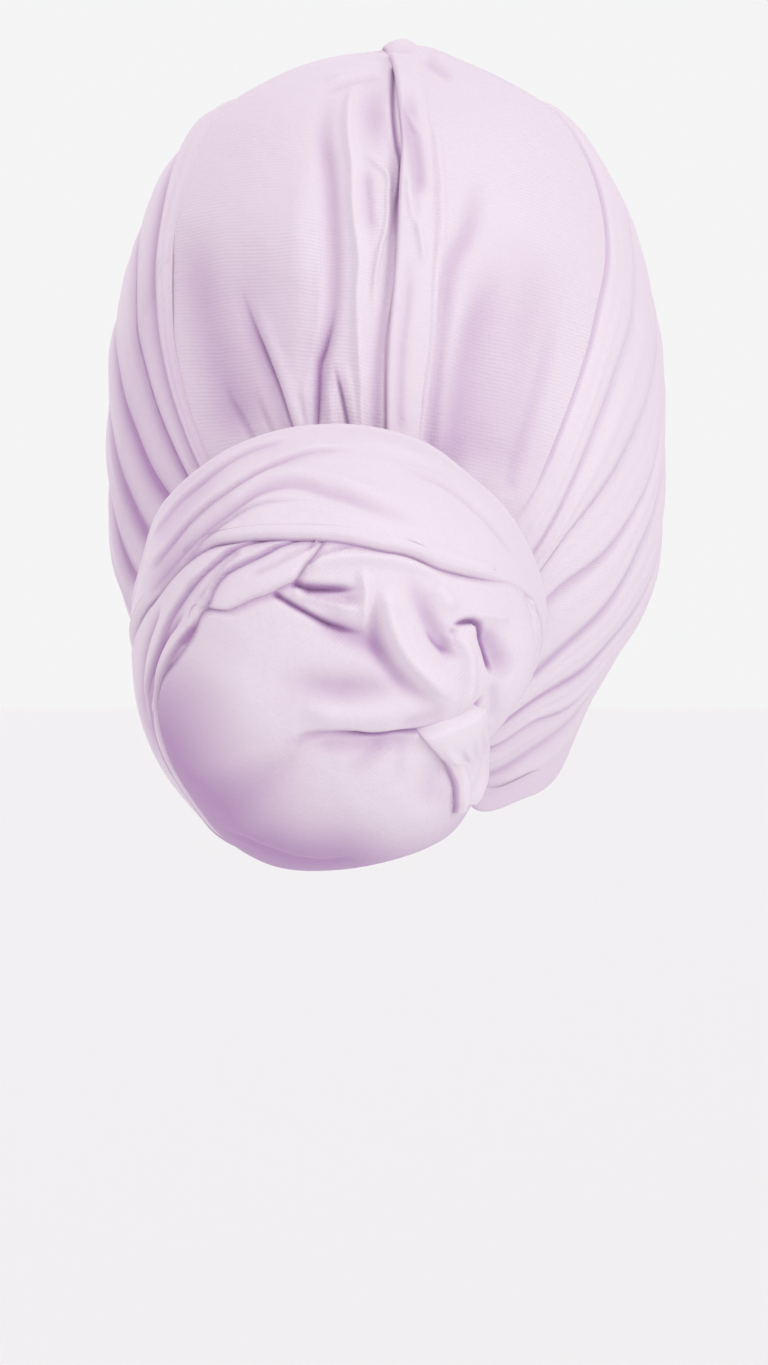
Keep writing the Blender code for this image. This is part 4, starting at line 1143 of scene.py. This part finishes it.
def make_ring(material):
    degrees = np.linspace(0, 360, 470, endpoint=False)[:, None]
    edge = round_curve(RING_EDGE, degrees)
    band = resample_round(band_edge(degrees)[:, 0], 6)[:, None]
    back = np.linspace(-1, 0, 26, endpoint=False) + 0 * degrees
    front = edge * np.linspace(0, 1, 104)
    way = np.concatenate([back, front], axis=1)
    turn = np.broadcast_to(degrees, way.shape)
    base = hull_point(turn, way)
    normal = hull_normal(turn, way)
    u, v = to_picture(base)
    face = soft(facing(base, normal), -0.05, 0.3)
    left = soft(np.cos(np.radians(turn - 20)), -0.1, 0.5)
    weight = face * soft(way, -0.15, 0.1) * left
    lift, shade = fold_lines(u, v, RING_LINES, weight)
    lift = lift + generic_pleats(turn, way, 51, 4.0, 1.4) * (1 - weight)
    lift = np.where(lift < 0, 2.1 * np.tanh(lift / 2.1), lift)
    # it lies under the band where that covers it
    hidden = soft(band - way, -0.05, 0.02)
    lift = lift * (1 - 0.85 * hidden) - 3.3 * hidden - 0.3
    # painted shade on the ring just below the band's edge
    shade = shade * (1 - hidden) + 0.5 * np.exp(-((way - band) / 0.035) ** 2) * (
        way > band)
    lift = lift + 0.2 * noise(base[..., 0] / 9, base[..., 2] / 9, 33)
    # rounded lip over the pouch
    size = np.concatenate([np.zeros((len(degrees), 1)), np.cumsum(
        np.linalg.norm(np.diff(base, axis=1), axis=-1), 1)], 1)
    from_edge = size[:, -1:] - size
    lip = 1.6 * (1 - np.sqrt(np.clip(1 - (1 - np.clip(from_edge / 2.4, 0, 1))
                                     ** 2, 0, 1)))
    joined = soft(degrees, 138, 156) * soft(256 - degrees, 0, 14)
    lift = np.clip(lift, -4.5, 3.0) - lip * (1 - 0.7 * joined)
    body = base + normal * lift[..., None]
    # head side closes down to the hole through the ring
    inside = []
    for share in (0.5, 1.0):
        r = (bun_hull(degrees, -1.0 + 0 * degrees)[0] * (1 - share)
             + (BAND_INNER + 0.5) * share)
        inside.append(bun_point(degrees, r, 0 * degrees - BAND_BACK + 1.0
                                + 2.0 * share)[:, 0])
    hem = turned_hem(body, normal, 3, 4.0, 1.6)
    whole = np.concatenate([np.stack(inside[::-1], 1), body, hem], 1)
    # painted shade on the head side and on the turned lip, less round the right side
    shade = np.concatenate([np.full((len(degrees), 2), 0.5), shade,
                            0.6 - 0.55 * joined + np.zeros(
                                (len(degrees), hem.shape[1]))], 1)
    up = np.concatenate([np.zeros((len(degrees), 1)), np.cumsum(
        np.linalg.norm(np.diff(whole, axis=1), axis=-1), 1)], 1)
    run = np.radians(degrees) * 60.0
    ribs = np.stack([run + 0 * up, up], -1)
    thing = cloth("bun_ring_cloth", whole, shade, ribs, around=True)
    check_outward(thing, BUN_CENTRE + 4 * BUN_AXIS)
    return finish_piece(thing, material, ["bun_wrap"])


def make_band(material):
    degrees = np.linspace(-60, 252, 470)[:, None]
    edge = smooth_curve([r[0] for r in BAND_EDGE], [r[1] for r in BAND_EDGE],
                        degrees)
    share = np.linspace(0, 1, 170)
    start = -1.0 + 0 * degrees
    way = start + (edge - start) * share ** 0.8
    turn = np.broadcast_to(degrees, way.shape)
    base = hull_point(turn, way)
    normal = hull_normal(turn, way)
    u, v = to_picture(base)
    weight = soft(facing(base, normal), -0.02, 0.3) * soft(way, -0.2, 0.05)
    lift, shade = fold_lines(u, v, BAND_LINES, weight)
    lift = lift + generic_pleats(turn, way, 53, 3.5, 1.3) * (1 - weight)
    lift = lift + 0.25 * noise(base[..., 0] / 12, base[..., 2] / 8, 37)
    size = np.concatenate([np.zeros((len(degrees), 1)), np.cumsum(
        np.linalg.norm(np.diff(base, axis=1), axis=-1), 1)], 1)
    from_edge = size[:, -1:] - size
    lip = 1.5 * (1 - np.sqrt(np.clip(1 - (1 - np.clip(from_edge / 3.0, 0, 1))
                                     ** 2, 0, 1)))
    # its two ends sink into the winding
    ends = 1 - soft(degrees, -48, 14) * soft(252 - degrees, 0, 26)
    joined = soft(degrees, 138, 156)
    lift = np.where(lift < 0, 2.6 * np.tanh(lift / 2.6), np.minimum(lift, 3.0))
    lift = lift - lip * (1 - 0.75 * joined)
    lift = lift + 0.6 - 0.5 * joined - 3.4 * ends
    body = base + normal * lift[..., None]
    hem = turned_hem(body, normal, 3, 5.0, 1.8)
    whole = np.concatenate([body, hem], 1)
    # painted shade on the turned hem, less round the right side
    shade = np.concatenate([shade, 0.6 - 0.55 * joined + np.zeros(
        (len(degrees), hem.shape[1]))], 1)
    up = np.concatenate([np.zeros((len(degrees), 1)), np.cumsum(
        np.linalg.norm(np.diff(whole, axis=1), axis=-1), 1)], 1)
    run = np.radians(degrees) * 60.0
    ribs = np.stack([run + 0 * up, up], -1)
    thing = cloth("bun_band_cloth", whole, shade, ribs)
    check_outward(thing, BUN_CENTRE + 4 * BUN_AXIS)
    return finish_piece(thing, material, ["bun_wrap"])


# Tucked end: left and right edge in the picture plane, lift at its middle.
TAIL = ((415, 730, 484, 692, 1.2), (423, 739, 489, 712, 1.8),
        (435, 753, 489, 734, 2.0), (446, 770, 486, 754, 2.0),
        (452, 788, 484, 773, 1.9), (453, 805, 478, 792, 1.6),
        (450, 820, 468, 807, 1.2))


def make_tail(material):
    rows = np.array(TAIL, float)
    k = np.linspace(0, len(rows) - 1, 190)
    index = np.arange(len(rows))
    lu, lv, ru, rv, swell = (smooth_curve(index, rows[:, c], k) for c in range(5))
    share = np.linspace(0, 1, 90)
    u = lu[:, None] + (ru - lu)[:, None] * share
    v = lv[:, None] + (rv - lv)[:, None] * share
    y = np.full(u.shape, 150.0)
    for _ in range(8):
        f = EYE[1] / (EYE[1] - y)
        x = EYE[0] + (384 - u) * PIXEL / f
        z = EYE[2] + (682.5 - v) * PIXEL / f
        y = 0.5 * y + 0.5 * hull_face(x, z)
    grid = np.stack([x, y, z], -1)
    normal = grid_normals(grid, False, BUN_CENTRE + 20 * BUN_AXIS)
    lift, shade = fold_lines(u, v, TAIL_LINES, np.ones(u.shape))
    side = np.sqrt(np.clip(1 - (2 * share - 1) ** 6, 0, 1))
    body = 1.0 + swell[:, None] * side + 0.6 * np.sin(np.pi * share)
    place = (k / (len(rows) - 1))[:, None]
    end = soft(place, 0, 0.14) * soft(1 - place, 0, 0.12)
    lift = (lift * side + body) * end - 3.6 * (1 - end)
    lift = lift - 2.0 * soft(share, 0.70, 1.0)
    # painted shade along the left edge, painted highlight over the middle
    shade = shade * 0.6 + 0.75 * np.exp(-(share / 0.035) ** 2) - 0.55 * side
    face = grid + normal * lift[..., None]
    low = face[:, :1] - normal[:, :1] * 3.5 + np.array([-1.5, 0, 0])
    high = face[:, -1:] - normal[:, -1:] * 2.0
    whole = np.concatenate([low, face, high], 1)
    # painted shade on the turned-under left edge
    shade = np.concatenate([np.ones((len(k), 1)), shade, shade[:, -1:]], 1)
    across = np.concatenate([np.zeros((len(k), 1)), np.cumsum(
        np.linalg.norm(np.diff(whole, axis=1), axis=-1), 1)], 1)
    run = np.concatenate([[0], np.cumsum(np.linalg.norm(
        np.diff(grid[:, 45], axis=0), axis=1))])[:, None]
    ribs = np.stack([run + 0 * across, across], -1)
    thing = cloth("tucked_tail_cloth", whole, shade, ribs)
    check_outward(thing, BUN_CENTRE + 20 * BUN_AXIS)
    return finish_piece(thing, material, ["tucked_tail"])


make_crown(jersey("crown_jersey", 1.2, 2.2))
make_strip(jersey("pleat_jersey", 0.80, 0.8))
make_wrap(jersey("wrap_jersey", 0.85, 0.7))
make_pouch(jersey("pouch_jersey", 1.0, 1.6))
make_ring(jersey("ring_jersey", 0.85, 0.6))
make_band(jersey("band_jersey", 0.85, 0.6))
make_tail(jersey("tail_jersey", 0.85, 0.8))


# ------------------------------------------------------------------ studio --
def make_floor():
    mesh = bpy.data.meshes.new("floor")
    size, z = 90.0, -0.62
    mesh.from_pydata([(-size, -size, z), (size, -size, z), (size, size, z),
                      (-size, size, z)], [], [(0, 1, 2, 3)])
    floor = bpy.data.objects.new("floor", mesh)
    bpy.context.scene.collection.objects.link(floor)
    material = bpy.data.materials.new("pale_floor")
    material.use_nodes = True
    shader = material.node_tree.nodes["Principled BSDF"]
    shader.inputs["Base Color"].default_value = (0.86, 0.87, 0.865, 1)
    shader.inputs["Roughness"].default_value = 0.9
    shader.inputs["Specular IOR Level"].default_value = 0.1
    mesh.materials.append(material)


def make_sun(name, towards, strength, spread, colour=(1, 1, 1)):
    light = bpy.data.lights.new(name, "SUN")
    light.energy = strength
    light.angle = math.radians(spread)
    light.color = colour
    thing = bpy.data.objects.new(name, light)
    from mathutils import Vector
    thing.rotation_euler = Vector(towards).to_track_quat("Z", "Y").to_euler()
    bpy.context.scene.collection.objects.link(thing)


make_floor()
make_sun("key", (-0.85, 0.62, 0.34), 0.92, 30, (0.86, 1.0, 0.86))
make_sun("camera_side", (-0.10, 1.0, 0.15), 0.68, 45, (0.90, 1.0, 0.88))
make_sun("left", (1.0, 0.35, 0.25), 0.46, 70, (0.88, 1.0, 0.84))
make_sun("top", (0.0, 0.20, 1.0), 0.85, 60, (0.86, 1.0, 0.84))
make_sun("front", (0.3, -1.0, 0.5), 0.9, 70, (0.92, 1.0, 0.90))

world = bpy.data.worlds.new("studio")
bpy.context.scene.world = world
world.use_nodes = True
studio = world.node_tree
studio.nodes.clear()
world_out = studio.nodes.new("ShaderNodeOutputWorld")
pick = studio.nodes.new("ShaderNodeMixShader")
ray = studio.nodes.new("ShaderNodeLightPath")
room = studio.nodes.new("ShaderNodeBackground")
room.inputs[0].default_value = (1.0, 0.80, 1.0, 1)
room.inputs[1].default_value = 0.54
backdrop = studio.nodes.new("ShaderNodeBackground")
backdrop.inputs[0].default_value = (0.91, 0.91, 0.915, 1)
backdrop.inputs[1].default_value = 1.0
studio.links.new(ray.outputs["Is Camera Ray"], pick.inputs[0])
studio.links.new(room.outputs[0], pick.inputs[1])
studio.links.new(backdrop.outputs[0], pick.inputs[2])
studio.links.new(pick.outputs[0], world_out.inputs[0])

camera = bpy.data.cameras.new("camera")
camera.sensor_fit = "VERTICAL"
camera.sensor_height = 36.0
camera.lens = 36.0 * EYE[1] / VIEW_HIGH
camera.clip_start = 0.05
camera.clip_end = 100.0
camera.dof.use_dof = False
eye = bpy.data.objects.new("camera", camera)
eye.location = [c * MM for c in EYE]
eye.rotation_euler = (math.radians(90), 0, math.radians(180))
bpy.context.scene.collection.objects.link(eye)
bpy.context.scene.camera = eye
bpy.context.scene.view_settings.view_transform = "Standard"

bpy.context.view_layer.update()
